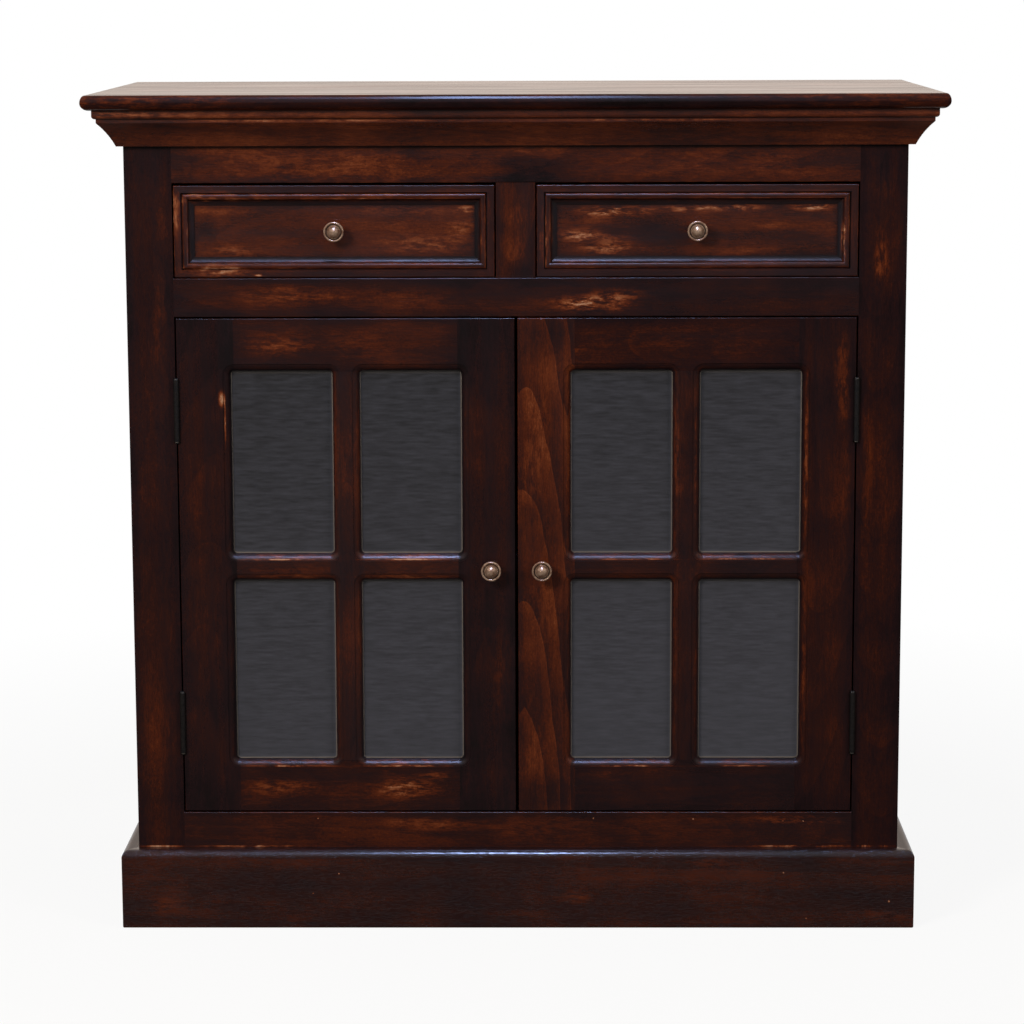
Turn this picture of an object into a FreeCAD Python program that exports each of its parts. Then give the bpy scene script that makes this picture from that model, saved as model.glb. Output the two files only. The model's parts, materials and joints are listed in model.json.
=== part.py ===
import FreeCAD, Part
import math
import os

# A chiffonier: two drawers over a pair of glazed doors, put together the way a joiner makes it.
# Millimetres, +Z up, front towards -Y, origin on the floor under the middle of the top board.
# Everything that stands on the left is drawn once, and the right side is its mirror image.

# Overall sizes
OVERALL_WIDTH = 900.0
OVERALL_DEPTH = 440.0
OVERALL_HEIGHT = 897.0

# Top board
TOP_THICKNESS = 16.0
TOP_OVERHANG = 39.0  # past the body, at the front and at both sides
NOSE_REACH_ABOVE = 5.0  # how far in the round nose starts on the upper face
NOSE_REACH_BELOW = 9.0

# Cornice under the top board
CORNICE_HEIGHT = 38.0
CORNICE_FOOT = 6.5  # flat underside at the bottom
CORNICE_CROWN = 24.5  # how far out the cove ends
CORNICE_COVE_SAG = 1.5  # how hollow the cove is
CORNICE_LIP = 4.0  # upright strip above the cove
CORNICE_FILLET_OUT = 28.5
CORNICE_FILLET_HEIGHT = 9.0
CORNICE_FILLET_ROUND = 3.5

# Plinth
PLINTH_HEIGHT = 86.0
PLINTH_THICKNESS = 17.0
PLINTH_ROUND = 8.0
PLINTH_FOOT_EASE = 2.0

# Face frame
FRAME_THICKNESS = 22.0
FRAME_STILE_WIDTH = 50.0
TOP_RAIL_SHOW = 39.0  # below the cornice
DRAWER_OPENING_HEIGHT = 100.0
MUNTIN_WIDTH = 41.5
MIDDLE_RAIL_HEIGHT = 41.0
BOTTOM_RAIL_SHOW = 39.0  # above the plinth
BOTTOM_RAIL_HIDDEN = 40.0  # behind the plinth

# Boards of the case
SIDE_THICKNESS = 18.0
BACK_THICKNESS = 6.0
BACK_REBATE = 9.0
BACK_LIFT = 20.0  # lower edge of the back above the floor
BOARD_THICKNESS = 16.0  # floor board, deck and shelf
DADO_DEPTH = 6.0
CLEAT = 20.0  # square section of cleats and battens
CLEAT_SETBACK = 12.0
SHELF_SETBACK = 14.0
SHELF_PLAY = 0.5

# Joints in solid wood
TENON_THICKNESS = 8.0
TENON_LENGTH = 20.0
TENON_SHOULDER = 8.0
EDGE_EASE = 1.0

# Doors
DOOR_THICKNESS = 22.0
DOOR_GAP = 1.5
MEETING_GAP = 3.0
DOOR_EDGE_TO_SIGHT = 56.5
BAR_BETWEEN_SIGHTS = 29.0
PANE_CORNER = 4.0
EDGE_MOULD_WIDTH = 8.0
EDGE_MOULD_QUIRK = 1.0
EDGE_MOULD_LIP = 1.5
BAR_TENON_LENGTH = 12.0
BAR_TENON_WIDTH = 10.0
GLASS_THICKNESS = 3.0
GLASS_REBATE = 6.0
GLASS_PLAY = 0.5
BEAD_ROUND = 3.0

# Drawers
DRAWER_GAP_SIDE = 1.5
DRAWER_GAP_TOP = 2.5
DRAWER_GAP_BOTTOM = 1.0
DRAWER_PLAY = 0.3  # drawer sides above the deck
DRAWER_BOARD = 12.0  # sides and back
DRAWER_SIDE_HEIGHT = 92.0
DRAWER_BACK_DROP = 8.0
DRAWER_BACK_CLEARANCE = 14.0
DRAWER_BOTTOM_THICKNESS = 5.0
DRAWER_BOTTOM_LIFT = 9.0
DRAWER_GROOVE = 6.0
FRONT_MOULD_RISE = 8.0
FRONT_MOULD_BAND = 7.5
FRONT_MOULD_BEAD = 7.5
FRONT_MOULD_COVE = 6.0
GUIDE_HEIGHT = 30.0
KICKER_HEIGHT = 22.0
STOP_LENGTH = 36.0
STOP_DEPTH = 18.0
STOP_HEIGHT = 6.0

# Knobs
KNOB_DIAMETER = 21.5
KNOB_PROJECTION = 21.0
KNOB_FROM_MEETING_EDGE = 25.5
KNOB_BELOW_BAR = 1.5
KNOB_SCREW_RADIUS = 2.0
KNOB_SCREW_BITE = 9.0

# Hinges
HINGE_LENGTH = 66.0
HINGE_FROM_DOOR_END = 65.0
HINGE_KNUCKLES = 5
KNUCKLE_RADIUS = 3.0
PIN_RADIUS = 1.5
PIN_PROUD = 1.5  # pin axis in front of the face frame
PIN_HEAD_RADIUS = 2.3
PIN_HEAD_HEIGHT = 1.2
LEAF_THICKNESS = 1.5
LEAF_REACH = 18.0  # from the front face into the gap
LEAF_SCREWS = 3

# Wood screws
SCREW_HEAD_RADIUS = 2.9
SCREW_HEAD_HEIGHT = 1.4
SCREW_SHANK_RADIUS = 1.5
SCREW_LENGTH = 14.0
SCREW_SLOT_WIDTH = 0.8
SCREW_SLOT_DEPTH = 0.5

# Catches
STRIKE_WIDTH = 28.0
STRIKE_HEIGHT = 11.0
STRIKE_THICKNESS = 1.5
CATCH_WIDTH = 34.0
CATCH_DEPTH = 14.0
CATCH_HEIGHT = 12.0

# Clearances
RUNNING_FIT = 0.05  # round parts that turn in one another
LEAF_PLAY = 0.2  # between the two leaves of a shut hinge
KNUCKLE_PLAY = 0.2
HOLLOW_PLAY = 0.4  # round a knuckle or screw in the wood
CATCH_PLAY = 0.3
OVERSHOOT = 1.0  # how far a cutting shape runs past the wood

# Places that follow from the sizes
BODY_HALF = OVERALL_WIDTH / 2 - TOP_OVERHANG
FRONT = TOP_OVERHANG - OVERALL_DEPTH / 2
BACK = OVERALL_DEPTH / 2
FRAME_BACK = FRONT + FRAME_THICKNESS
INNER_BACK = BACK - BACK_THICKNESS
BODY_TOP = OVERALL_HEIGHT - TOP_THICKNESS
INNER_HALF = BODY_HALF - SIDE_THICKNESS
OPENING_HALF = BODY_HALF - FRAME_STILE_WIDTH
MUNTIN_HALF = MUNTIN_WIDTH / 2
DRAWER_TOP = BODY_TOP - CORNICE_HEIGHT - TOP_RAIL_SHOW
DRAWER_FLOOR = DRAWER_TOP - DRAWER_OPENING_HEIGHT
DOOR_OPENING_TOP = DRAWER_FLOOR - MIDDLE_RAIL_HEIGHT
DOOR_OPENING_FLOOR = PLINTH_HEIGHT + BOTTOM_RAIL_SHOW
DOOR_BACK = FRONT + DOOR_THICKNESS
FRAME_FACES = (FRONT, FRAME_BACK)
DOOR_FACES = (FRONT, DOOR_BACK)

V = FreeCAD.Vector
TOUCH = 1e-6


# Shape helpers

def box(x, y, z):
    """Box from three (low, high) pairs."""
    corner = V(x[0], y[0], z[0])
    return Part.makeBox(x[1] - x[0], y[1] - y[0], z[1] - z[0], corner)


def cylinder(radius, start, end):
    """Round bar between two points."""
    return Part.makeCylinder(radius, (end - start).Length, start, end - start)


def mirrored(shape):
    """The same shape on the other side of the middle plane."""
    return shape.mirror(V(0, 0, 0), V(1, 0, 0))


def both(shape):
    """A left-hand shape together with its right-hand twin."""
    return [shape, mirrored(shape)]


def middle(pair):
    return (pair[0] + pair[1]) / 2


def inset(pair, margin):
    """A (low, high) pair made shorter by a margin at each end."""
    return (pair[0] + margin, pair[1] - margin)


def arc(start, corner, end):
    """Arc that leaves start and reaches end in line with the corner between them.

    It is part of a circle where both lie as far from the corner, and else a quarter of an ellipse.
    """
    first = (corner - start).Length
    second = (end - corner).Length
    if abs(first - second) < TOUCH:
        chord = (end - start).Length
        halfway = (start + end) * 0.5
        crest = halfway + (corner - halfway) * (chord / (chord + first + second))
        return Part.Arc(start, crest, end).toShape()
    centre = start + end - corner
    longest, shortest = (end, start) if first > second else (start, end)
    ellipse = Part.Ellipse(longest, shortest, centre)
    return Part.ArcOfEllipse(ellipse, 0, math.pi / 2).toShape()


def section(place, outline):
    """Flat face from a closed outline. A step is a point, or a (corner, point) pair for an arc."""
    start = place(*outline[0])
    here = start
    edges = []
    for step in outline[1:]:
        if isinstance(step[0], tuple):
            end = place(*step[1])
            edges.append(arc(here, place(*step[0]), end))
        else:
            end = place(*step)
            edges.append(Part.makeLine(here, end))
        here = end
    edges.append(Part.makeLine(here, start))
    return Part.Face(Part.Wire(edges))


def moulding(start, end, across, rise, size, mitres, outline):
    """Length of moulding along start-end, with its outline drawn as (across, rise) distances.

    size is the outline's (width, height). A mitre is 1 where the end grows longer with the distance
    across, -1 where it grows shorter, and 0 where it is cut square.
    """
    width, height = size
    along = (end - start).normalize()
    spare = along * width
    bar = section(lambda a, r: start - spare + across * a + rise * r, outline)
    bar = bar.extrude(end - start + spare * 2)
    far_start = start + across * width - along * (width * mitres[0])
    far_end = end + across * width + along * (width * mitres[1])
    plan = Part.Face(Part.makePolygon([start, end, far_end, far_start, start]))
    return bar.common(plan.extrude(rise * height))


def edges_along(solid, axis, **places):
    """Straight edges that run along one axis and lie at the given coordinates."""
    found = []
    for edge in solid.Edges:
        run = edge.Vertexes[-1].Point - edge.Vertexes[0].Point
        straight = abs(abs(getattr(run, axis)) - edge.Length) < TOUCH
        centre = edge.CenterOfMass
        there = all(abs(getattr(centre, name) - place) < TOUCH for name, place in places.items())
        if straight and there:
            found.append(edge)
    return found


def eased(solid, edges):
    return solid.makeFillet(EDGE_EASE, edges)


def eased_front(board, upright_edges, level_edges):
    """Board with rounded arrises on the front face: uprights at some x, level ones at some z."""
    arrises = [edge for x in upright_edges for edge in edges_along(board, "z", x=x, y=FRONT)]
    arrises += [edge for z in level_edges for edge in edges_along(board, "x", y=FRONT, z=z)]
    return eased(board, arrises)


def tenon_faces(faces):
    """Front and back of a tenon in the middle of a board's thickness."""
    centre = middle(faces)
    return (centre - TENON_THICKNESS / 2, centre + TENON_THICKNESS / 2)


# Screws

def screw(seat, direction, play=0.0):
    """Slotted countersunk wood screw. With play, the hole that takes it."""
    head = Part.makeCone(
        SCREW_HEAD_RADIUS + play, SCREW_SHANK_RADIUS + play, SCREW_HEAD_HEIGHT, seat, direction
    )
    shank = cylinder(SCREW_SHANK_RADIUS + play, seat, seat + direction * (SCREW_LENGTH + play))
    whole = head.fuse(shank).removeSplitter()
    if play:
        return whole
    lengthwise = V(1, 0, 0) if abs(direction.z) > TOUCH else V(0, 0, 1)
    crosswise = direction.cross(lengthwise)
    half = direction * SCREW_SLOT_DEPTH + lengthwise * SCREW_HEAD_RADIUS + crosswise * SCREW_SLOT_WIDTH / 2
    low = [min(a, b) for a, b in zip(seat - half, seat + half)]
    high = [max(a, b) for a, b in zip(seat - half, seat + half)]
    return whole.cut(box(*zip(low, high)))


# Top board, cornice and plinth

def top_board():
    """Board with a round nose on three sides, as the overlap of a front and a side section."""
    half_width = OVERALL_WIDTH / 2
    tip = BODY_TOP + TOP_THICKNESS / 2

    def rising_nose(edge):
        return [
            (edge + NOSE_REACH_BELOW, BODY_TOP),
            ((edge, BODY_TOP), (edge, tip)),
            ((edge, OVERALL_HEIGHT), (edge + NOSE_REACH_ABOVE, OVERALL_HEIGHT)),
        ]

    falling_nose = [
        (half_width - NOSE_REACH_ABOVE, OVERALL_HEIGHT),
        ((half_width, OVERALL_HEIGHT), (half_width, tip)),
        ((half_width, BODY_TOP), (half_width - NOSE_REACH_BELOW, BODY_TOP)),
    ]
    square_back = [(BACK, OVERALL_HEIGHT), (BACK, BODY_TOP)]
    across = section(lambda x, z: V(x, -BACK, z), rising_nose(-half_width) + falling_nose)
    along = section(lambda y, z: V(-half_width, y, z), rising_nose(-BACK) + square_back)
    return across.extrude(V(0, OVERALL_DEPTH, 0)).common(along.extrude(V(OVERALL_WIDTH, 0, 0)))


def skirting(base, size, outline):
    """Moulding round the front and the sides of the body: the front length and the left return."""
    up = V(0, 0, 1)
    left = V(-BODY_HALF, FRONT, base)
    right = V(BODY_HALF, FRONT, base)
    rear = V(-BODY_HALF, BACK, base)
    front_run = moulding(left, right, V(0, -1, 0), up, size, (1, 1), outline)
    left_return = moulding(left, rear, V(-1, 0, 0), up, size, (1, 0), outline)
    return front_run, left_return


def cornice():
    """Flat underside, shallow cove, upright lip, and a fillet with a rounded lower edge."""
    fillet_base = CORNICE_HEIGHT - CORNICE_FILLET_HEIGHT
    cove_rise = fillet_base - CORNICE_LIP
    cove_run = CORNICE_CROWN - CORNICE_FOOT
    hollow = 2 * CORNICE_COVE_SAG / math.hypot(cove_run, cove_rise)
    bend = (CORNICE_FOOT + cove_run / 2 - cove_rise * hollow, cove_rise / 2 + cove_run * hollow)
    round_end = (CORNICE_FILLET_OUT, fillet_base + CORNICE_FILLET_ROUND)
    outline = [
        (0, 0),
        (CORNICE_FOOT, 0),
        (bend, (CORNICE_CROWN, cove_rise)),
        (CORNICE_CROWN, fillet_base),
        (CORNICE_FILLET_OUT - CORNICE_FILLET_ROUND, fillet_base),
        ((CORNICE_FILLET_OUT, fillet_base), round_end),
        (CORNICE_FILLET_OUT, CORNICE_HEIGHT),
        (0, CORNICE_HEIGHT),
    ]
    return skirting(BODY_TOP - CORNICE_HEIGHT, (CORNICE_FILLET_OUT, CORNICE_HEIGHT), outline)


def plinth():
    """Skirting board with a round upper edge and a slightly rounded foot."""
    out = PLINTH_THICKNESS
    outline = [
        (0, 0),
        (out - PLINTH_FOOT_EASE, 0),
        ((out, 0), (out, PLINTH_FOOT_EASE)),
        (out, PLINTH_HEIGHT - PLINTH_ROUND),
        ((out, PLINTH_HEIGHT), (out - PLINTH_ROUND, PLINTH_HEIGHT)),
        (0, PLINTH_HEIGHT),
    ]
    return skirting(0, (out, PLINTH_HEIGHT), outline)


# Face frame

def frame_rail(z, eased_heights):
    """Rail between the two stiles of the face frame, with a tenon at each end."""
    rail = eased_front(box((-OPENING_HALF, OPENING_HALF), FRAME_FACES, z), [], eased_heights)
    reach = OPENING_HALF + TENON_LENGTH
    tenon = box((-reach, reach), tenon_faces(FRAME_FACES), inset(z, TENON_SHOULDER))
    return rail.fuse(tenon).removeSplitter()


def face_frame():
    """Left stile, three rails and the muntin."""
    top_rail = frame_rail((DRAWER_TOP, BODY_TOP), [DRAWER_TOP])
    middle_rail = frame_rail((DOOR_OPENING_TOP, DRAWER_FLOOR), [DOOR_OPENING_TOP, DRAWER_FLOOR])
    bottom_rail = frame_rail((PLINTH_HEIGHT - BOTTOM_RAIL_HIDDEN, DOOR_OPENING_FLOOR), [DOOR_OPENING_FLOOR])
    muntin_width = (-MUNTIN_HALF, MUNTIN_HALF)
    muntin = box(muntin_width, FRAME_FACES, (DRAWER_FLOOR, DRAWER_TOP))
    muntin = eased_front(muntin, muntin_width, [])
    tenon_ends = (DRAWER_FLOOR - TENON_LENGTH, DRAWER_TOP + TENON_LENGTH)
    tenon = box(inset(muntin_width, TENON_SHOULDER), tenon_faces(FRAME_FACES), tenon_ends)
    muntin = muntin.fuse(tenon).removeSplitter()
    stile = eased_front(box((-BODY_HALF, -OPENING_HALF), FRAME_FACES, (0, BODY_TOP)), [-BODY_HALF], [])
    stile = stile.cut([top_rail, middle_rail, bottom_rail])
    return stile, top_rail.cut(muntin), middle_rail.cut(muntin), bottom_rail, muntin


# Boards of the case

def case_boards():
    """Left side panel, back, floor board and drawer deck. The side is grooved for the other three."""
    depth = (FRAME_BACK, INNER_BACK)
    grooved_half = INNER_HALF + DADO_DEPTH
    back_half = INNER_HALF + BACK_REBATE
    floor_z = (DOOR_OPENING_FLOOR - BOARD_THICKNESS, DOOR_OPENING_FLOOR)
    deck_z = (DRAWER_FLOOR - BOARD_THICKNESS, DRAWER_FLOOR)
    floor_board = box((-grooved_half, grooved_half), depth, floor_z)
    deck = box((-grooved_half, grooved_half), depth, deck_z)
    back = box((-back_half, back_half), (INNER_BACK, BACK), (BACK_LIFT, BODY_TOP))
    side = box((-BODY_HALF, -INNER_HALF), (FRAME_BACK, BACK), (0, BODY_TOP))
    side = eased(side, edges_along(side, "z", x=-BODY_HALF, y=BACK))
    return side.cut([back, floor_board, deck]), back, floor_board, deck


def shelf_top():
    """The shelf lies behind the cross bars of the doors."""
    return middle((DOOR_OPENING_FLOOR, DOOR_OPENING_TOP)) + BOARD_THICKNESS / 2


def shelf():
    width = (SHELF_PLAY - INNER_HALF, INNER_HALF - SHELF_PLAY)
    depth = (FRAME_BACK + SHELF_SETBACK, INNER_BACK - SHELF_PLAY)
    board = box(width, depth, (shelf_top() - BOARD_THICKNESS, shelf_top()))
    return eased(board, edges_along(board, "x", y=depth[0]))


def cleats():
    """Square strips on both sides: under the floor board, under the shelf and under the top."""
    depth = (FRAME_BACK + CLEAT_SETBACK, INNER_BACK - CLEAT_SETBACK)
    tops = [DOOR_OPENING_FLOOR - BOARD_THICKNESS, shelf_top() - BOARD_THICKNESS, BODY_TOP]
    strips = []
    for top in tops:
        strips += both(box((-INNER_HALF, CLEAT - INNER_HALF), depth, (top - CLEAT, top)))
    return strips


def drawer_guides():
    """Strips beside the drawers on the deck, and kickers above that keep an open drawer level."""
    depth = (FRAME_BACK, INNER_BACK)
    strips = []
    for z in [(DRAWER_FLOOR, DRAWER_FLOOR + GUIDE_HEIGHT), (DRAWER_TOP, DRAWER_TOP + KICKER_HEIGHT)]:
        strips += both(box((-INNER_HALF, -OPENING_HALF), depth, z))
        strips.append(box((-MUNTIN_HALF, MUNTIN_HALF), depth, z))
    return strips


def drawer_stops():
    """Two blocks on the deck for each drawer, just behind its front."""
    depth = (FRAME_BACK + CATCH_PLAY, FRAME_BACK + STOP_DEPTH)
    quarter = (OPENING_HALF - MUNTIN_HALF) / 4
    blocks = []
    for share in (1, 3):
        centre = -MUNTIN_HALF - share * quarter
        width = (centre - STOP_LENGTH / 2, centre + STOP_LENGTH / 2)
        blocks += both(box(width, depth, (DRAWER_FLOOR, DRAWER_FLOOR + STOP_HEIGHT)))
    return blocks


# Left door: where it stands and where its panes are

DOOR_X = (DOOR_GAP - OPENING_HALF, -MEETING_GAP / 2)
DOOR_Z = (DOOR_OPENING_FLOOR + DOOR_GAP, DOOR_OPENING_TOP - DOOR_GAP)


def sights(span):
    """The two glass openings along a door's width or height."""
    low = span[0] + DOOR_EDGE_TO_SIGHT
    high = span[1] - DOOR_EDGE_TO_SIGHT
    half_bar = BAR_BETWEEN_SIGHTS / 2
    return [(low, middle(span) - half_bar), (middle(span) + half_bar, high)]


COLUMNS = sights(DOOR_X)
ROWS = sights(DOOR_Z)
PANES = [(column, row) for row in ROWS for column in COLUMNS]
MOULD_DEPTH = EDGE_MOULD_QUIRK + EDGE_MOULD_WIDTH
GLASS_FRONT = FRONT + MOULD_DEPTH + EDGE_MOULD_LIP
GLASS_BACK = GLASS_FRONT + GLASS_THICKNESS
KNOB_X = DOOR_X[1] - KNOB_FROM_MEETING_EDGE
KNOB_Z = middle(DOOR_Z) - KNOB_BELOW_BAR


def sight_wire(x, z):
    """Rounded outline of a glass opening on the door's face, from the left end of its lower edge."""
    r = PANE_CORNER
    corners = [V(x[0], FRONT, z[0]), V(x[1], FRONT, z[0]), V(x[1], FRONT, z[1]), V(x[0], FRONT, z[1])]
    edges = []
    for index, corner in enumerate(corners):
        following = corners[(index + 1) % 4]
        after = corners[(index + 2) % 4]
        run = (following - corner).normalize() * r
        turn = (after - following).normalize() * r
        edges.append(Part.makeLine(corner + run, following - run))
        edges.append(arc(following - run, following, following + turn))
    return Part.Wire(edges)


def pane_cutter(x, z):
    """What the router takes away for one pane: the hole, its rounded front edge and the glass rebate."""
    path = sight_wire(x, z)
    hole = Part.Face(path).extrude(V(0, DOOR_THICKNESS, 0))
    wide = EDGE_MOULD_WIDTH
    outline = [
        (-OVERSHOOT, -OVERSHOOT),
        (wide, -OVERSHOOT),
        (wide, EDGE_MOULD_QUIRK),
        ((0, EDGE_MOULD_QUIRK), (0, MOULD_DEPTH)),
        (-OVERSHOOT, MOULD_DEPTH),
    ]
    start = V(x[0] + PANE_CORNER, FRONT, z[0])
    profile = section(lambda out, depth: start + V(0, depth, -out), outline)
    edge = path.makePipeShell([profile.OuterWire], True, False)
    rebate = box(inset(x, -GLASS_REBATE), (GLASS_FRONT, DOOR_BACK + OVERSHOOT), inset(z, -GLASS_REBATE))
    return [hole, edge, rebate]


def door_frame(hollows):
    """Stiles, rails and glazing bars. The uprights take in the rounded corners of the panes."""
    cutters = [tool for pane in PANES for tool in pane_cutter(*pane)] + hollows
    between = (COLUMNS[0][0] + PANE_CORNER, COLUMNS[1][1] - PANE_CORNER)
    bar_x = (COLUMNS[0][1] - PANE_CORNER, COLUMNS[1][0] + PANE_CORNER)
    bar_z = (ROWS[0][0], ROWS[1][1])
    cross_z = (ROWS[0][1], ROWS[1][0])
    tenon_y = tenon_faces(DOOR_FACES)
    clear = EDGE_MOULD_WIDTH + TENON_SHOULDER
    rail_tenon_x = inset(between, -TENON_LENGTH)
    bar_centre_x = (middle(bar_x) - BAR_TENON_WIDTH / 2, middle(bar_x) + BAR_TENON_WIDTH / 2)
    bar_centre_z = (middle(cross_z) - BAR_TENON_WIDTH / 2, middle(cross_z) + BAR_TENON_WIDTH / 2)

    hinge_stile = eased_front(box((DOOR_X[0], between[0]), DOOR_FACES, DOOR_Z), [DOOR_X[0]], DOOR_Z)
    lock_stile = eased_front(box((between[1], DOOR_X[1]), DOOR_FACES, DOOR_Z), [DOOR_X[1]], DOOR_Z)
    top_rail = eased_front(box(between, DOOR_FACES, (ROWS[1][1], DOOR_Z[1])), [], [DOOR_Z[1]])
    top_tenon_z = (ROWS[1][1] + clear, DOOR_Z[1] - TENON_SHOULDER)
    top_rail = top_rail.fuse(box(rail_tenon_x, tenon_y, top_tenon_z))
    bottom_rail = eased_front(box(between, DOOR_FACES, (DOOR_Z[0], ROWS[0][0])), [], [DOOR_Z[0]])
    bottom_tenon_z = (DOOR_Z[0] + TENON_SHOULDER, ROWS[0][0] - clear)
    bottom_rail = bottom_rail.fuse(box(rail_tenon_x, tenon_y, bottom_tenon_z))
    upright = box(bar_x, DOOR_FACES, bar_z)
    upright = upright.fuse(box(bar_centre_x, tenon_y, inset(bar_z, -BAR_TENON_LENGTH)))
    cross_bars = []
    for span in [(between[0], bar_x[0]), (bar_x[1], between[1])]:
        bar = box(span, DOOR_FACES, cross_z)
        cross_bars.append(bar.fuse(box(inset(span, -BAR_TENON_LENGTH), tenon_y, bar_centre_z)))

    def finish(piece, tenoned):
        return piece.cut(tenoned + cutters).removeSplitter()

    return {
        "hinge_stile": [finish(hinge_stile, [top_rail, bottom_rail, cross_bars[0]])],
        "lock_stile": [finish(lock_stile, [top_rail, bottom_rail, cross_bars[1]])],
        "top_rail": [finish(top_rail, [upright])],
        "bottom_rail": [finish(bottom_rail, [upright])],
        "glazing_bars": [finish(upright, cross_bars)] + [finish(bar, []) for bar in cross_bars],
    }


def glazing():
    """A sheet of glass in each rebate, and four mitred beads behind it."""
    sheets = []
    beads = []
    back = V(0, 1, 0)
    depth = DOOR_BACK - GLASS_BACK
    outline = [
        (0, 0),
        (GLASS_REBATE, 0),
        (GLASS_REBATE, depth - BEAD_ROUND),
        ((GLASS_REBATE, depth), (GLASS_REBATE - BEAD_ROUND, depth)),
        (0, depth),
    ]
    for x, z in PANES:
        grown = GLASS_REBATE - GLASS_PLAY
        sheets.append(box(inset(x, -grown), (GLASS_FRONT, GLASS_BACK), inset(z, -grown)))
        beads += ring(inset(x, -GLASS_REBATE), inset(z, -GLASS_REBATE), GLASS_BACK, back,
                      (GLASS_REBATE, depth), outline)
    return sheets, beads


def ring(x, z, y, rise, size, outline):
    """Four mouldings round the inside of an upright rectangle, mitred at its corners."""
    corners = [V(x[0], y, z[0]), V(x[1], y, z[0]), V(x[1], y, z[1]), V(x[0], y, z[1])]
    inward = [V(0, 0, 1), V(-1, 0, 0), V(0, 0, -1), V(1, 0, 0)]
    runs = []
    for index in range(4):
        start = corners[index]
        end = corners[(index + 1) % 4]
        runs.append(moulding(start, end, inward[index], rise, size, (-1, -1), outline))
    return runs


# Knobs

def knob(x, y, z):
    """Turned knob on a collar: hollow neck, round rim, groove and a domed middle. Bored for its screw."""
    rim = KNOB_DIAMETER / 2
    tip = KNOB_PROJECTION
    collar = rim * 0.6
    collar_top = tip * 0.08
    neck = rim * 0.4
    neck_middle = tip * 0.3
    rim_low, rim_middle, rim_top = tip * 0.66, tip * 0.74, tip * 0.8
    rim_crest = rim * 0.9
    groove = rim * 0.76
    dome = rim * 0.62
    dome_rise = tip - rim_middle
    dome_tangent = (dome**2 + dome_rise**2) / (2 * dome)
    outline = [
        (0, 0),
        (0, collar),
        (collar_top, collar),
        ((collar_top, neck), (neck_middle, neck)),
        ((rim_low, neck), (rim_low, rim_crest)),
        ((rim_low, rim), (rim_middle, rim)),
        ((rim_top, rim), (rim_top, rim_crest)),
        ((rim_top, groove), (rim_middle, groove)),
        (rim_middle, dome),
        ((tip, dome_tangent), (tip, 0)),
    ]
    seat = V(x, y, z)
    shape = section(lambda out, radius: seat + V(0, -out, radius), outline)
    turned = shape.revolve(seat, V(0, -1, 0), 360)
    bore_end = seat - V(0, KNOB_SCREW_BITE + OVERSHOOT, 0)
    return turned.cut(cylinder(KNOB_SCREW_RADIUS + RUNNING_FIT, seat, bore_end))


def knob_screw(x, front, back, z, play=0.0):
    """Pan-headed screw from behind. With play, the hole through the wood."""
    radius = KNOB_SCREW_RADIUS + play
    if play:
        return cylinder(radius, V(x, front - OVERSHOOT, z), V(x, back + OVERSHOOT, z))
    shank = cylinder(radius, V(x, front - KNOB_SCREW_BITE, z), V(x, back, z))
    head = cylinder(radius * 2, V(x, back, z), V(x, back + radius, z))
    slot = box(
        (x - SCREW_SLOT_WIDTH / 2, x + SCREW_SLOT_WIDTH / 2),
        (back + radius - SCREW_SLOT_DEPTH, back + radius + OVERSHOOT),
        (z - radius * 2, z + radius * 2),
    )
    return shank.fuse(head).removeSplitter().cut(slot)


# Hinges of the left door

PIN_X = -OPENING_HALF + DOOR_GAP / 2
PIN_Y = FRONT - PIN_PROUD
HINGE_FLOORS = [
    DOOR_Z[0] + HINGE_FROM_DOOR_END,
    DOOR_Z[1] - HINGE_FROM_DOOR_END - HINGE_LENGTH,
]
LEAF_FRONT = PIN_Y + KNUCKLE_RADIUS + HOLLOW_PLAY


def pin_bar(radius, low, high):
    """Upright bar on the pin's axis."""
    return cylinder(radius, V(PIN_X, PIN_Y, low), V(PIN_X, PIN_Y, high))


def leaf_x(side):
    """Left and right face of a leaf: side is -1 on the face frame and 1 on the door."""
    near = PIN_X + side * LEAF_PLAY / 2
    far = near + side * LEAF_THICKNESS
    return (min(near, far), max(near, far))


def leaf_screws(side, floor, play=0.0):
    face = PIN_X + side * LEAF_PLAY / 2
    y = middle((LEAF_FRONT, FRONT + LEAF_REACH))
    step = HINGE_LENGTH / LEAF_SCREWS
    heights = [floor + step * (number + 0.5) for number in range(LEAF_SCREWS)]
    return [screw(V(face, y, height), V(side, 0, 0), play) for height in heights]


def hinge_leaf(side, floor):
    """Plate with every second knuckle rolled on it. The frame's leaf has the outermost ones."""
    x = leaf_x(side)
    plate = box(x, (LEAF_FRONT, FRONT + LEAF_REACH), (floor, floor + HINGE_LENGTH))
    step = HINGE_LENGTH / HINGE_KNUCKLES
    rolled = []
    for number in range(0 if side < 0 else 1, HINGE_KNUCKLES, 2):
        z = inset((floor + step * number, floor + step * (number + 1)), KNUCKLE_PLAY / 2)
        rolled.append(box(x, (PIN_Y, LEAF_FRONT), z))
        rolled.append(pin_bar(KNUCKLE_RADIUS, *z))
    bore = pin_bar(PIN_RADIUS + RUNNING_FIT, floor - OVERSHOOT, floor + HINGE_LENGTH + OVERSHOOT)
    leaf = plate.fuse(rolled).removeSplitter()
    return leaf.cut([bore] + leaf_screws(side, floor, RUNNING_FIT))


def hinge_pin(floor):
    """Pin with a small round head above and below the knuckles."""
    top = floor + HINGE_LENGTH
    pin = pin_bar(PIN_RADIUS, floor, top)
    heads = [
        pin_bar(PIN_HEAD_RADIUS, floor - PIN_HEAD_HEIGHT, floor),
        pin_bar(PIN_HEAD_RADIUS, top, top + PIN_HEAD_HEIGHT),
    ]
    return pin.fuse(heads).removeSplitter()


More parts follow.
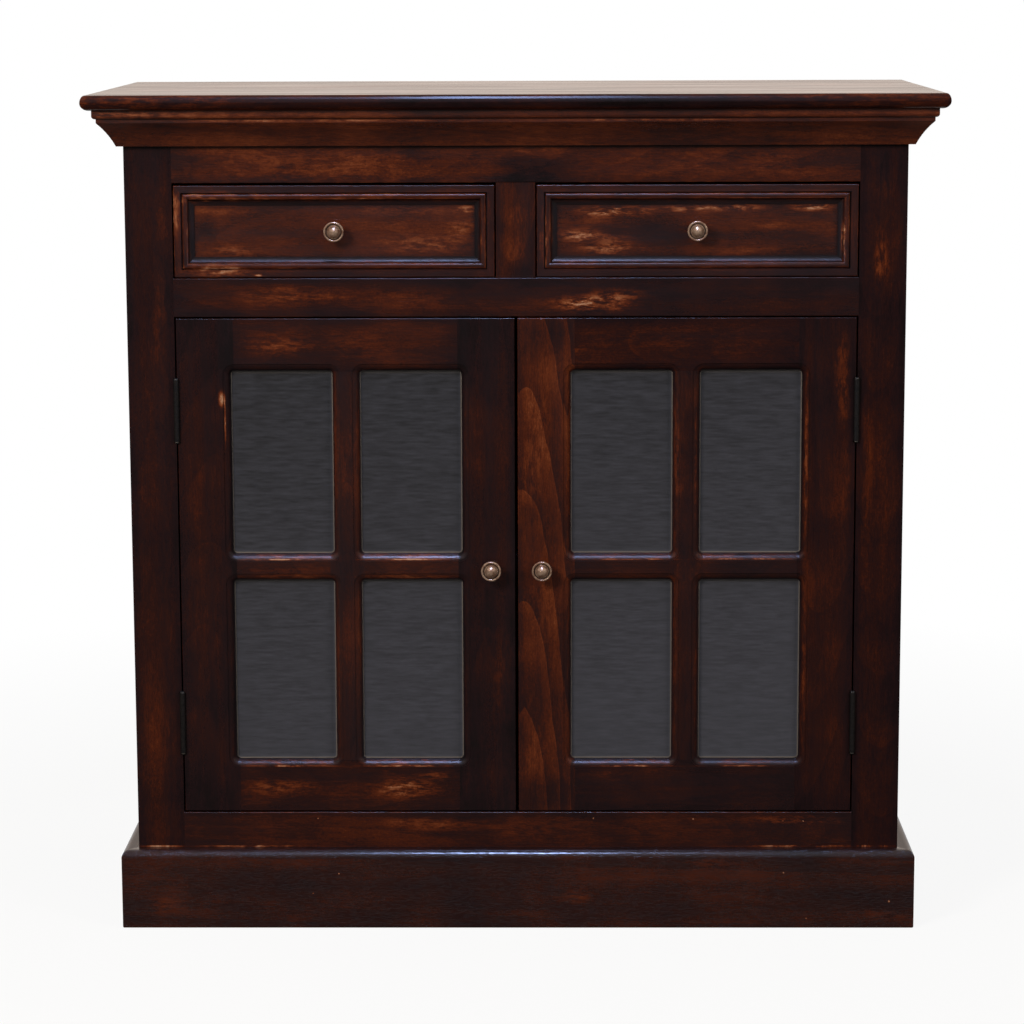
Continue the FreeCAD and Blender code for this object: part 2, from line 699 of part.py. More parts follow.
def hinge_hollows(side):
    """What the frame stile (-1) or the door stile (1) loses to its two hinges."""
    hollows = []
    for floor in HINGE_FLOORS:
        top = floor + HINGE_LENGTH
        ends = (floor - PIN_HEAD_HEIGHT - HOLLOW_PLAY, top + PIN_HEAD_HEIGHT + HOLLOW_PLAY)
        hollows.append(pin_bar(KNUCKLE_RADIUS + HOLLOW_PLAY, *ends))
        hollows.append(box(leaf_x(side), (PIN_Y, FRONT + LEAF_REACH), (floor, top)))
        hollows += leaf_screws(side, floor, HOLLOW_PLAY)
    return hollows


# Catch of the left door, near the foot of its lock stile

STRIKE_Z = DOOR_Z[0] + STRIKE_HEIGHT / 2 + OVERSHOOT
STRIKE_BACK = DOOR_BACK + STRIKE_THICKNESS
CATCH_FRONT = STRIKE_BACK + CATCH_PLAY


def strike_screw(play=0.0):
    return screw(V(KNOB_X, STRIKE_BACK, STRIKE_Z), V(0, -1, 0), play)


def strike_plate():
    width = (KNOB_X - STRIKE_WIDTH / 2, KNOB_X + STRIKE_WIDTH / 2)
    height = (STRIKE_Z - STRIKE_HEIGHT / 2, STRIKE_Z + STRIKE_HEIGHT / 2)
    plate = box(width, (DOOR_BACK, STRIKE_BACK), height)
    return plate.cut(strike_screw(RUNNING_FIT))


def catch_screw(play=0.0):
    seat = V(KNOB_X, CATCH_FRONT + CATCH_DEPTH / 2, DOOR_OPENING_FLOOR + CATCH_HEIGHT / 2)
    return screw(seat, V(0, 0, -1), play)


def magnetic_catch():
    """Housing on the floor board, with a pocket over its screw."""
    width = (KNOB_X - CATCH_WIDTH / 2, KNOB_X + CATCH_WIDTH / 2)
    depth = (CATCH_FRONT, CATCH_FRONT + CATCH_DEPTH)
    height = (DOOR_OPENING_FLOOR, DOOR_OPENING_FLOOR + CATCH_HEIGHT)
    housing = box(width, depth, height)
    housing = eased(housing, edges_along(housing, "z"))
    seat = V(KNOB_X, middle(depth), middle(height))
    pocket = cylinder(SCREW_HEAD_RADIUS + HOLLOW_PLAY, seat, seat + V(0, 0, CATCH_HEIGHT))
    return housing.cut([pocket, catch_screw(RUNNING_FIT)])


def left_door():
    """Every piece that swings with the left door."""
    knob_hole = knob_screw(KNOB_X, FRONT, DOOR_BACK, KNOB_Z, HOLLOW_PLAY)
    pieces = door_frame(hinge_hollows(1) + [knob_hole, strike_screw(HOLLOW_PLAY)])
    pieces["glass_panes"], pieces["glazing_beads"] = glazing()
    pieces["knob"] = [knob(KNOB_X, FRONT, KNOB_Z)]
    pieces["hinge_leaves"] = [hinge_leaf(1, floor) for floor in HINGE_FLOORS]
    pieces["strike_plate"] = [strike_plate()]
    screws = [one for floor in HINGE_FLOORS for one in leaf_screws(1, floor)]
    pieces["screws"] = screws + [strike_screw(), knob_screw(KNOB_X, FRONT, DOOR_BACK, KNOB_Z)]
    return pieces


# Left drawer

def front_mouldings(x, z, face):
    """Mitred frame on a drawer front: flat band, bead in a groove, cove down to the panel."""
    rise = FRONT_MOULD_RISE
    band = FRONT_MOULD_BAND
    bead = band + FRONT_MOULD_BEAD
    width = bead + FRONT_MOULD_COVE
    groove = rise * 0.55
    crest = rise * 0.9
    outline = [
        (0, 0),
        (0, rise - EDGE_EASE),
        ((0, rise), (EDGE_EASE, rise)),
        (band, rise),
        (band, groove),
        (band + EDGE_EASE, groove),
        ((band + EDGE_EASE, crest), (middle((band, bead)), crest)),
        ((bead, crest), (bead, groove)),
        ((bead, EDGE_EASE), (width, EDGE_EASE)),
        (width, 0),
    ]
    return ring(x, z, face, V(0, -1, 0), (width, rise), outline)


def left_drawer():
    """Every piece that slides with the left drawer."""
    x = (DRAWER_GAP_SIDE - OPENING_HALF, -MUNTIN_HALF - DRAWER_GAP_SIDE)
    z = (DRAWER_FLOOR + DRAWER_GAP_BOTTOM, DRAWER_TOP - DRAWER_GAP_TOP)
    face = FRONT + FRONT_MOULD_RISE
    rear = INNER_BACK - DRAWER_BACK_CLEARANCE
    floor = DRAWER_FLOOR + DRAWER_PLAY
    side_z = (floor, floor + DRAWER_SIDE_HEIGHT)
    bottom_low = floor + DRAWER_BOTTOM_LIFT
    bottom_top = bottom_low + DRAWER_BOTTOM_THICKNESS
    knob_x = middle(x)
    knob_z = middle(z)

    bottom_x = inset(x, DRAWER_BOARD - DRAWER_GROOVE)
    bottom = box(bottom_x, (FRAME_BACK - DRAWER_GROOVE, rear), (bottom_low, bottom_top))
    sides = []
    for side_x in [(x[0], x[0] + DRAWER_BOARD), (x[1] - DRAWER_BOARD, x[1])]:
        side = box(side_x, (FRAME_BACK, rear), side_z)
        side = eased(side, edges_along(side, "y", z=side_z[1]))
        sides.append(side.cut(bottom))
    back_z = (bottom_top, side_z[1] - DRAWER_BACK_DROP)
    back = box(inset(x, DRAWER_BOARD), (rear - DRAWER_BOARD, rear), back_z)
    hole = knob_screw(knob_x, face, FRAME_BACK, knob_z, HOLLOW_PLAY)
    front = box(x, (face, FRAME_BACK), z).cut([bottom, hole])
    return {
        "front": [front],
        "moulding": front_mouldings(x, z, face),
        "sides": sides,
        "back": [eased(back, edges_along(back, "x", z=back_z[1]))],
        "bottom": [bottom],
        "knob": [knob(knob_x, face, knob_z)],
        "knob_screw": [knob_screw(knob_x, face, FRAME_BACK, knob_z)],
    }


# The whole chiffonier, as {node: its solids}

def carcass():
    cornice_front, cornice_return = cornice()
    plinth_front, plinth_return = plinth()
    stile, top_rail, middle_rail, bottom_rail, muntin = face_frame()
    stile = stile.cut(hinge_hollows(-1))
    side, back, floor_board, deck = case_boards()
    floor_board = floor_board.cut(both(catch_screw(HOLLOW_PLAY)))
    leaves = [one for floor in HINGE_FLOORS for one in both(hinge_leaf(-1, floor))]
    pins = [one for floor in HINGE_FLOORS for one in both(hinge_pin(floor))]
    screws = [one for floor in HINGE_FLOORS for left in leaf_screws(-1, floor) for one in both(left)]
    return {
        "top_board": [top_board()],
        "cornice_front": [cornice_front],
        "cornice_returns": both(cornice_return),
        "left_stile": [stile],
        "right_stile": [mirrored(stile)],
        "top_rail": [top_rail],
        "middle_rail": [middle_rail],
        "bottom_rail": [bottom_rail],
        "drawer_muntin": [muntin],
        "left_side_panel": [side],
        "right_side_panel": [mirrored(side)],
        "back_panel": [back],
        "floor_board": [floor_board],
        "drawer_deck": [deck],
        "drawer_guides": drawer_guides(),
        "drawer_stops": drawer_stops(),
        "shelf": [shelf()],
        "cleats": cleats(),
        "plinth_front": [plinth_front],
        "plinth_returns": both(plinth_return),
        "hinge_frame_leaves": leaves,
        "hinge_pins": pins,
        "carcass_screws": screws + both(catch_screw()),
        "magnetic_catches": both(magnetic_catch()),
    }


def chiffonier():
    nodes = carcass()
    for name, pieces in [("door", left_door()), ("drawer", left_drawer())]:
        for piece, solids in pieces.items():
            nodes[f"left_{name}_{piece}"] = solids
            nodes[f"right_{name}_{piece}"] = [mirrored(solid) for solid in solids]
    return nodes


os.makedirs("parts", exist_ok=True)
for node, solids in chiffonier().items():
    whole = solids[0] if len(solids) == 1 else Part.makeCompound(solids)
    whole.exportStep(f"parts/{node}.step")
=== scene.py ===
# %% [markdown]
# # A dark stained chiffonier
# A cupboard with two drawers over a pair of glazed doors, in solid wood under a brown stain that was
# sprayed darker towards the joints and then rubbed thin in places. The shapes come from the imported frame,
# where every board, pane and screw is a node of its own. This lesson gives each of them its finish.

# %% Load the frame
import json
import math
import random

import bmesh
import bpy
from mathutils import Matrix, Vector


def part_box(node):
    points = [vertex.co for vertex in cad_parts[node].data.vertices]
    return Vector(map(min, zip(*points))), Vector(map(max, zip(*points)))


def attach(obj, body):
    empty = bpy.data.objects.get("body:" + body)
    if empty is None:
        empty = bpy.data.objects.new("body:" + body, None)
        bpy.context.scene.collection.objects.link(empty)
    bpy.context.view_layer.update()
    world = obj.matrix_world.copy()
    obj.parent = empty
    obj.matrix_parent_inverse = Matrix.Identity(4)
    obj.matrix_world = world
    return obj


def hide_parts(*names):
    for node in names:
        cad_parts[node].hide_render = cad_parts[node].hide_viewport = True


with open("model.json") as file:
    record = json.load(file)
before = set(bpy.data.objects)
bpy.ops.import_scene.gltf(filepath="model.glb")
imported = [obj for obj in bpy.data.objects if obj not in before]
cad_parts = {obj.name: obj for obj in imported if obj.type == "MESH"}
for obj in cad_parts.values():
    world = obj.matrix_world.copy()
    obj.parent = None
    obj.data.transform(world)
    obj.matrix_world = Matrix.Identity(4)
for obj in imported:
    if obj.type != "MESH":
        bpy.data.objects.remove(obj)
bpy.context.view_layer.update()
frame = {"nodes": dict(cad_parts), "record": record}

objects = frame["nodes"]
body_of = {node: body for body, nodes in frame["record"]["behaviour"]["bodies"].items() for node in nodes}

# %% [markdown]
# ## Colours and nodes
# Colours are easiest to read as the hex values of a paint chart, but shaders work in linear light, so one
# function converts them. Another adds a shader node, sets its properties and joins its sockets, which keeps
# each material a short list of steps.

# %% Colours, nodes and materials
def linear(hex_colour):
    """sRGB hex to a linear RGBA colour."""
    channels = [int(hex_colour[i:i + 2], 16) / 255 for i in (1, 3, 5)]
    curve = [c / 12.92 if c <= 0.04045 else ((c + 0.055) / 1.055) ** 2.4 for c in channels]
    return (*curve, 1.0)


def add(tree, kind, inputs=None, stops=(), **settings):
    """Adds a node. An input is a plain value, an output socket, or a node, whose first output then feeds
    it. Stops are the positions and hex colours of a ramp."""
    node = tree.nodes.new("ShaderNode" + kind)
    for name, value in settings.items():
        setattr(node, name, value)
    for name, value in (inputs or {}).items():
        if isinstance(value, bpy.types.Node):
            value = value.outputs[0]
        if isinstance(value, bpy.types.NodeSocket):
            tree.links.new(value, node.inputs[name])
        else:
            node.inputs[name].default_value = value
    while stops and len(node.color_ramp.elements) < len(stops):
        node.color_ramp.elements.new(0.5)
    for number, (position, colour) in enumerate(stops):
        node.color_ramp.elements[number].position = position
        node.color_ramp.elements[number].color = linear(colour)
    return node


def new_material(name):
    """Material with an empty node tree, and that tree."""
    material = bpy.data.materials.new(name)
    material.use_nodes = True
    material.node_tree.nodes.clear()
    return material, material.node_tree


def finish(piece, material):
    """Gives a piece or a frame node one material."""
    piece.data.materials.clear()
    piece.data.materials.append(material)


print("dark stain in linear light:", [round(c, 4) for c in linear("#2a1613")])

# %% [markdown]
# ## Stained wood
# The boards are a plain hardwood under one pot of brown stain. On the real cupboard the stain was sprayed
# on in clouds that run across the joints, and was then rubbed thin by hand in places. So a board's colour
# is worked out as a depth of stain: a number from 0, nearly black, to 1, rubbed through to pale wood. The
# patterns only shift that number, and a single ramp turns it into a colour.

# %% Grain and stain patterns
STAIN = [
    (0.0, "#110a0b"),
    (0.15, "#1d0f11"),
    (0.3, "#2b130f"),
    (0.45, "#451c0d"),
    (0.6, "#5f2b13"),
    (0.8, "#824b2e"),
    (1.0, "#a98167"),
]
# Name, length along the grain and width across it in millimetres, detail, roughness.
# Real pores are about half as wide as these, which would not show.
PATTERNS = [
    ("figure", 230, 17, 4.0, 0.5),
    ("mottle", 14, 5, 3.0, 0.6),
    ("streak", 36, 1.3, 3.0, 0.6),
    ("fleck", 3, 1.8, 2.0, 0.65),
    ("pore", 8, 0.5, 1.0, 0.5),
    ("rub", 16, 4.5, 5.0, 0.7),
]
MOST_SHIFT = 50  # in lengths and widths of a pattern
SPRAY_CLOUD_MM = 90.0
SPRAY_DETAIL = 3.0


def grain_patterns(tree, place, fibre, grain, chance):
    """Noise patterns stretched along the grain, each moved by chance so that no two boards match,
    and the cloud of the spray gun, which is the same on all boards and so runs on over the joints."""
    patterns = {}
    for name, along, across, detail, rough in PATTERNS:
        scale = [1000 / (along if axis == grain else across) for axis in "XYZ"]
        shift = [chance.uniform(-MOST_SHIFT, MOST_SHIFT) for axis in "XYZ"]
        stretched = add(tree, "Mapping", {"Vector": fibre, "Location": shift, "Scale": scale})
        patterns[name] = add(tree, "TexNoise", {
            "Vector": stretched, "Scale": 1.0, "Detail": detail, "Roughness": rough,
        })
    patterns["spray"] = add(tree, "TexNoise", {
        "Vector": place, "Scale": 1000 / SPRAY_CLOUD_MM, "Detail": SPRAY_DETAIL,
    })
    return patterns


print(len(STAIN), "depths of stain,", len(PATTERNS), "patterns along the grain")

# %% [markdown]
# No tree gives a board as wide as the top or a side, so these are glued up from staves. The whole part of
# a point's place across the grain, counted in staves, picks a chance number for each one, which shifts its
# grain and its tone.

# %% Staves
STAVE_SHIFT_M = 0.4
STAVE_SWING = 0.13


def glued_staves(tree, place, across, width_mm):
    """Place in the wood that each stave was cut from, and a chance number for its tone."""
    position = add(tree, "SeparateXYZ", {0: place}).outputs[across]
    counted = add(tree, "Math", {0: position, 1: 1000 / width_mm}, operation="MULTIPLY")
    stave = add(tree, "Math", {0: counted}, operation="FLOOR")
    chance = add(tree, "TexWhiteNoise", {"W": stave}, noise_dimensions="1D").outputs
    fibre = add(tree, "VectorMath", {
        0: chance["Color"], 1: [STAVE_SHIFT_M] * 3, 2: place,
    }, operation="MULTIPLY_ADD")
    return fibre, chance["Value"]


print("the tones of two staves differ by", STAVE_SWING, "at most")

# %% [markdown]
# Flat-sawn boards cut the growth rings at a slant, which draws long arches on the face. Rings round a
# slightly tilted line behind the board give the same arches. A saw-tooth wave fits them better than a sine:
# each year starts pale, darkens slowly and ends at a sharp line.

# %% Growth rings
RING_SPACING_MM = 9.0
RING_WAVER = {"Distortion": 1.5, "Detail": 2.0, "Detail Scale": 0.5}
PITH_DEPTH_MM = 60.0
PITH_DEPTH_RANGE = (0.7, 1.3)
PITH_TILT_DEGREES = 7
WAVE_TURN = math.pi / 10  # the wave texture repeats after this length at a scale of 1


def growth_rings(tree, place, centre, thin_axis, grain, chance, pith=None):
    """Pith is a point of the tree's middle in millimetres and its tilt in degrees, if the board shows
    it."""
    if pith:
        middle = Vector(pith[0]) / 1000
        tilt = [math.radians(angle) for angle in pith[1]]
    else:
        middle = centre.copy()
        middle[thin_axis] += PITH_DEPTH_MM / 1000 * chance.uniform(*PITH_DEPTH_RANGE)
        tilt = [math.radians(chance.uniform(-PITH_TILT_DEGREES, PITH_TILT_DEGREES)) for axis in "XYZ"]
    about_pith = add(tree, "Mapping", {
        "Vector": place, "Location": middle, "Rotation": tilt,
    }, vector_type="TEXTURE")
    return add(tree, "TexWave", {
        "Vector": about_pith, "Scale": WAVE_TURN / (RING_SPACING_MM / 1000), **RING_WAVER,
    }, wave_type="RINGS", rings_direction=grain, wave_profile="SAW").outputs["Fac"]


print("a growth ring every", RING_SPACING_MM, "mm")

# %% [markdown]
# Rubbed places are soft ellipses with a ragged, streaky edge, so a spot fades out from its middle and a
# streaky pattern decides how much of it shows. Where the stain was chipped off, the pattern hardly matters.

# %% Rubbed places
CHIPPED = 0.6  # from this much lighter on, the stain is chipped off clean
SPOT_EDGE = {"From Min": 1.25, "From Max": 0.2}  # in half sizes from the middle
RUB_RANGE = {"From Min": 0.42, "From Max": 0.58}
LEAST_RUBBED = 0.1
LEAST_CHIPPED = 0.8
MOST_RUBBED = 1.3


def rubbed_places(tree, place, depth, patches, rub):
    """A patch is its centre, its half sizes (x, y, z in millimetres) and how much lighter it is."""
    for middle, reach, lighter in patches:
        offset = add(tree, "VectorMath", {0: place, 1: [m / 1000 for m in middle]}, operation="SUBTRACT")
        shaped = add(tree, "VectorMath", {0: offset, 1: [r / 1000 for r in reach]}, operation="DIVIDE")
        away = add(tree, "VectorMath", {0: shaped}, operation="LENGTH").outputs["Value"]
        spot = add(tree, "MapRange", {"Value": away, **SPOT_EDGE}, interpolation_type="SMOOTHSTEP")
        least = LEAST_RUBBED if 0 < lighter < CHIPPED else LEAST_CHIPPED
        ragged = add(tree, "MapRange", {
            "Value": rub, **RUB_RANGE, "To Min": lighter * least, "To Max": lighter * MOST_RUBBED,
        })
        depth = add(tree, "Math", {0: spot, 1: ragged, 2: depth}, operation="MULTIPLY_ADD")
    return depth


print("rubbed places show from", LEAST_RUBBED, "to", MOST_RUBBED, "of their lightness")

# %% [markdown]
# Along the ends and edges of a board the gun went over once more. A recess, such as the moulding round a
# pane, is darkened too: that is painted shade. And hands and dusters wear the stain off rounded edges first:
# a face that looks squarely along X, Y or Z is a flat of the cupboard, and any other direction is a moulding
# or an eased edge, so the normal itself says where the wood may be worn.

# %% Sprayed and shaded edges, painted shade in recesses, and worn edges
FACES_FAR_M = 1.0  # moves the two faces of a board out of reach, so that only its edges count
RECESS_FROM_MM = -178.5
RECESS_TO_MM = -173.0
FLAT_TO_ROUND = {"From Min": 0.985, "From Max": 0.85}  # largest part of the normal
WEAR_RANGE = {"From Min": 0.4, "From Max": 0.62}


def largest(tree, vector):
    """The largest of X, Y and Z."""
    x, y, z = add(tree, "SeparateXYZ", {0: vector}).outputs
    larger = add(tree, "Math", {0: x, 1: y}, operation="MAXIMUM")
    return add(tree, "Math", {0: larger, 1: z}, operation="MAXIMUM")


def sprayed_and_shaded_edges(tree, place, depth, box, thin_axis, reach_mm, darker):
    """Darker towards the edges of the board's box. Reach is how far in, for each axis."""
    low, high = box
    half = (high - low) / 2
    half[thin_axis] += FACES_FAR_M
    offset = add(tree, "VectorMath", {0: place, 1: (low + high) / 2}, operation="SUBTRACT")
    offset = add(tree, "VectorMath", {0: offset}, operation="ABSOLUTE")
    past_edge = add(tree, "VectorMath", {0: offset, 1: half}, operation="SUBTRACT")
    in_reach = add(tree, "VectorMath", {0: past_edge, 1: [r / 1000 for r in reach_mm]}, operation="DIVIDE")
    darkened_edge = add(tree, "MapRange", {
        "Value": largest(tree, in_reach), "From Min": -1.0, "From Max": 0.0,
    }, interpolation_type="SMOOTHSTEP")
    return add(tree, "Math", {0: darkened_edge, 1: -darker, 2: depth}, operation="MULTIPLY_ADD")


def painted_recess_shade(tree, place, depth, darker):
    """Painted shade: darker behind the front of the doors and drawers."""
    back = add(tree, "SeparateXYZ", {0: place}).outputs["Y"]
    sunk = add(tree, "MapRange", {
        "Value": back, "From Min": RECESS_FROM_MM / 1000, "From Max": RECESS_TO_MM / 1000,
    })
    return add(tree, "Math", {0: sunk, 1: -darker, 2: depth}, operation="MULTIPLY_ADD")


def worn_edges(tree, depth, rub, lighter):
    """Lighter on rounded edges, where the rub pattern lets it."""
    normal = add(tree, "NewGeometry").outputs["Normal"]
    faces = add(tree, "VectorMath", {0: normal}, operation="ABSOLUTE")
    rounded = add(tree, "MapRange", {"Value": largest(tree, faces), **FLAT_TO_ROUND})
    rubbed = add(tree, "MapRange", {"Value": rub, **WEAR_RANGE, "To Max": lighter})
    return add(tree, "Math", {0: rounded, 1: rubbed, 2: depth}, operation="MULTIPLY_ADD")


print("recesses darken over", RECESS_TO_MM - RECESS_FROM_MM, "mm")

# %% [markdown]
# The varnish over the stain is satin. Its roughness follows the broad figure of the wood, and open pores
# and fine streaks break the shine, so they go into a slight relief.

# %% The wood material
PATTERN_SHARES = {"spray": 0.5, "figure": 0.36, "mottle": 0.36, "streak": 0.36, "fleck": 0.58}
PORE_RANGE = {"From Min": 0.36, "From Max": 0.46}
PORE_DARKER = 0.06
FIGURE_RANGE = {"From Min": 0.3, "From Max": 0.7}
DULLER = 0.08
GLOSSIER = 0.05
STREAK_RELIEF = 0.5
PORE_DEPTH_M = 0.0002


def stained_wood(name, box, grain, tone, patches=(), figure=1.0, flecks=0.5, rings=0.06, ends=45, sides=12,
                 shade=0.1, recess=0.0, worn=0.3, gloss=0.27, shine=0.3, relief=0.16, pith=None,
                 staves=None):
    """Wood for one board. Tone is the depth of its stain before the patterns shift it. Figure, flecks and
    rings are how strong these patterns are. Ends and sides are how far in, in millimetres, the edges are
    darkened, and shade is how much: sprayed stain, and on the drawer fronts also painted shade. Recess
    darkens hollows as painted shade, and worn lightens rounded edges. Gloss is the roughness, shine the
    strength of the mirror image and relief the height of the pores."""
    material, tree = new_material(name)
    chance = random.Random(name)
    low, high = box
    thin_axis = min(range(3), key=lambda axis: (high - low)[axis])
    place = add(tree, "TexCoord").outputs["Object"]
    depth = tone
    fibre = place
    if staves:
        fibre, swing = glued_staves(tree, place, *staves)
        depth = add(tree, "MapRange", {
            "Value": swing, "To Min": tone - STAVE_SWING / 2, "To Max": tone + STAVE_SWING / 2,
        })
    patterns = grain_patterns(tree, place, fibre, grain, chance)
    patterns["rings"] = growth_rings(tree, fibre, (low + high) / 2, thin_axis, grain, chance, pith)

    strength = {"figure": figure, "mottle": flecks, "streak": flecks, "fleck": flecks}
    shares = {pattern: share * strength.get(pattern, 1.0) for pattern, share in PATTERN_SHARES.items()}
    shares["rings"] = rings
    for pattern, share in shares.items():
        swing = add(tree, "Math", {0: patterns[pattern], 1: 0.5}, operation="SUBTRACT")
        depth = add(tree, "Math", {0: swing, 1: share, 2: depth}, operation="MULTIPLY_ADD")
    depth = rubbed_places(tree, place, depth, patches, patterns["rub"])
    reach = [ends if axis == grain else sides for axis in "XYZ"]
    # sprayed stain, and on the drawer fronts also painted shade
    depth = sprayed_and_shaded_edges(tree, place, depth, box, thin_axis, reach, shade)
    # painted shade in the hollows behind the front
    if recess:
        depth = painted_recess_shade(tree, place, depth, recess)
    depth = worn_edges(tree, depth, patterns["rub"], worn)
    between_pores = add(tree, "MapRange", {"Value": patterns["pore"], **PORE_RANGE})
    depth = add(tree, "Math", {0: between_pores, 1: PORE_DARKER, 2: depth}, operation="MULTIPLY_ADD")

    # To the eye: brown wood with soft clouds, nearly black at the joints, under a satin gleam
    stain = add(tree, "ValToRGB", {0: depth}, STAIN)
    sheen = add(tree, "MapRange", {
        "Value": patterns["figure"], **FIGURE_RANGE, "To Min": gloss + DULLER, "To Max": gloss - GLOSSIER,
    })
    height = add(tree, "Math", {
        0: patterns["streak"], 1: STREAK_RELIEF, 2: between_pores,
    }, operation="MULTIPLY_ADD")
    bump = add(tree, "Bump", {"Strength": relief, "Distance": PORE_DEPTH_M, "Height": height})
    varnish = add(tree, "BsdfPrincipled", {
        "Base Color": stain, "Roughness": sheen, "Specular IOR Level": shine, "Normal": bump,
    })
    add(tree, "OutputMaterial", {"Surface": varnish})
    return material


def stain_boards(boards, **shared):
    """Gives each board of a table its own wood."""
    for name, look in boards.items():
        finish(objects[name], stained_wood("stained_hardwood_" + name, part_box(name), **shared, **look))
    print("stained:", ", ".join(boards))


print("patterns in the stain:", ", ".join(PATTERN_SHARES))

# %% [markdown]
# ## Which board is which
# Every board runs its own way: rails and the top along X, stiles and sides along Z, drawer sides along Y.
# The tones follow the real boards, which were not matched. The rubbed places were read off the picture, and
# each is one line: where it lies on the front, how far it reaches and how much lighter or darker it is.
# The top is the smoothest board, so that it mirrors the room, with a nose that was stained darker.

# %% Top and cornice
THROUGH_MM = 1000
EVERYWHERE_MM = 3000


def front_patch(x, z, half_x, half_z, lighter):
    """A rubbed place on the front, in millimetres. It reaches through the whole board."""
    return ((x, 0, z), (half_x, THROUGH_MM, half_z), lighter)


def level_band(z, half_z, lighter):
    """A band that runs round the whole cupboard."""
    return ((0, 0, z), (EVERYWHERE_MM, EVERYWHERE_MM, half_z), lighter)


TOP_BOARD = dict(grain="X", tone=0.46, worn=0.06, gloss=0.2, shine=0.15, relief=0.015, staves=("Y", 95))
CORNICE = dict(tone=0.36, shade=0.0, worn=0.07, shine=0.5)
stain_boards({
    "top_board": dict(TOP_BOARD, patches=[
        level_band(889, 6.6, -0.24),
        ((-390, -215, 890), (210, 40, 8), 0.3),
        ((360, -215, 890), (190, 40, 8), 0.24),
    ]),
    "cornice_front": dict(CORNICE, grain="X", patches=[
        front_patch(-210, 870, 210, 1.4, 0.3),
        front_patch(140, 870, 130, 1.2, 0.3),
        # the bands at height 877 are painted light on the fillet, where the nose casts shade; at the left
        # end the wood is also paler
        front_patch(-300, 877, 300, 6, 0.12),
        front_patch(-410, 877, 80, 6, 0.2),
        front_patch(330, 877, 250, 6, 0.1),
    ]),
    "cornice_returns": dict(CORNICE, grain="Y"),
})

# %% [markdown]
# The face frame is sprayed dark where its boards meet. Along its foot a thin line is painted lighter, and a
# few specks were knocked off. A speck is a very small rubbed place.

# %% Face frame
NICK_LIGHTER = 0.75


def nick(x, z, size=0.9):
    """A speck where the stain has been knocked off."""
    return front_patch(x, z, size, size, NICK_LIGHTER)


stain_boards({
    "left_stile": dict(grain="Z", tone=0.2, shine=0.24, patches=[
        front_patch(-376, 670, 8, 45, 0.1),
        front_patch(-392, 190, 25, 90, 0.04),
        front_patch(-386, 87, 30, 1.4, 0.6),
        nick(-358, 616), nick(-358.5, 605), nick(-358, 596),
    ]),
    "right_stile": dict(grain="Z", tone=0.2, shine=0.16, patches=[
        front_patch(384, 718, 9, 40, 0.3),
        front_patch(384, 800, 18, 30, 0.1),
        front_patch(385, 670, 30, 50, -0.1),
        front_patch(372, 480, 8, 250, 0.08),
        front_patch(385, 190, 30, 120, 0.05),
        front_patch(386, 87, 30, 1.4, 0.5),
    ]),
    "top_rail": dict(grain="X", tone=0.33, patches=[
        front_patch(-200, 824, 200, 30, 0.13),
        front_patch(-341, 823, 45, 18, -0.1),
        front_patch(-68, 821, 40, 16, -0.12),
        front_patch(18, 838, 40, 8, 0.15),
        front_patch(15, 812, 45, 24, -0.3),
        front_patch(230, 822, 160, 20, 0.1),
        front_patch(327, 825, 40, 18, -0.14),
    ]),
    "middle_rail": dict(grain="X", tone=0.235, patches=[
        front_patch(-235, 686, 70, 12, 0.22),
        front_patch(-110, 684, 80, 14, 0.14),
        front_patch(80, 676, 50, 12, 0.52),
        front_patch(110, 686, 40, 8, 0.3),
        front_patch(-60, 690, 90, 16, -0.06),
        front_patch(20, 702, 50, 14, -0.1),
        front_patch(270, 682, 130, 24, -0.1),
    ]),
    "bottom_rail": dict(grain="X", tone=0.25, patches=[
        front_patch(-90, 112, 60, 10, 0.2),
        front_patch(20, 108, 70, 14, 0.12),
        front_patch(300, 117, 60, 6, 0.2),
        front_patch(230, 108, 160, 24, 0.05),
        front_patch(-290, 87, 80, 1.4, 0.5),
        front_patch(300, 87, 80, 1.4, 0.5),
        nick(-216, 118), nick(82, 118), nick(190, 117), nick(287, 115), nick(309, 115),
    ]),
    "drawer_muntin": dict(grain="Z", tone=0.31, patches=[
        front_patch(5, 708, 25, 16, -0.1),
        front_patch(0, 768, 16, 14, 0.14),
        front_patch(2, 735, 16, 22, 0.14),
    ]),
})

# %% [markdown]
# The wide boards are glued up from staves, and nobody rubbed their stain by hand, so grain and rings show
# more than on the front. The boards inside got no polish.

# %% Panels and boards inside
SIDE_PANEL = dict(grain="Z", tone=0.28, figure=1.4, rings=0.16, gloss=0.34, shine=0.17, staves=("Y", 98))
INSIDE_BOARD = dict(grain="X", tone=0.3, rings=0.12, gloss=0.5, shine=0.1, staves=("Y", 98))
stain_boards({
    "left_side_panel": SIDE_PANEL,
    "right_side_panel": SIDE_PANEL,
    "back_panel": dict(grain="Z", tone=0.36, gloss=0.45, rings=0.16, staves=("X", 137)),
    "floor_board": INSIDE_BOARD,
    "drawer_deck": INSIDE_BOARD,
    "shelf": INSIDE_BOARD,
})

# %% [markdown]
# The plinth is an even dark board with a highlight on its moulded edge. A glossy varnish over strong relief
# gives that edge a short, broken gleam.

# %% Plinth
PLINTH = dict(tone=0.25, shade=0.0, worn=0.0)
PLINTH_EDGE = level_band(84, 5, -0.1)
stain_boards({
    "plinth_front": dict(PLINTH, grain="X", flecks=0.3, gloss=0.12, relief=0.6, shine=0.5, patches=[
        PLINTH_EDGE,
        front_patch(-380, 25, 25, 12, 0.15),
        front_patch(65, 35, 18, 10, 0.15),
        front_patch(200, 73, 45, 5, 0.12),
        front_patch(400, 15, 40, 10, 0.12),
        nick(-193, 61), nick(-221, 39), nick(287, 62), nick(312, 11), nick(401, 30, 1.4),
    ]),
    "plinth_returns": dict(PLINTH, grain="Y", gloss=0.25, shine=0.1, patches=[PLINTH_EDGE]),
})
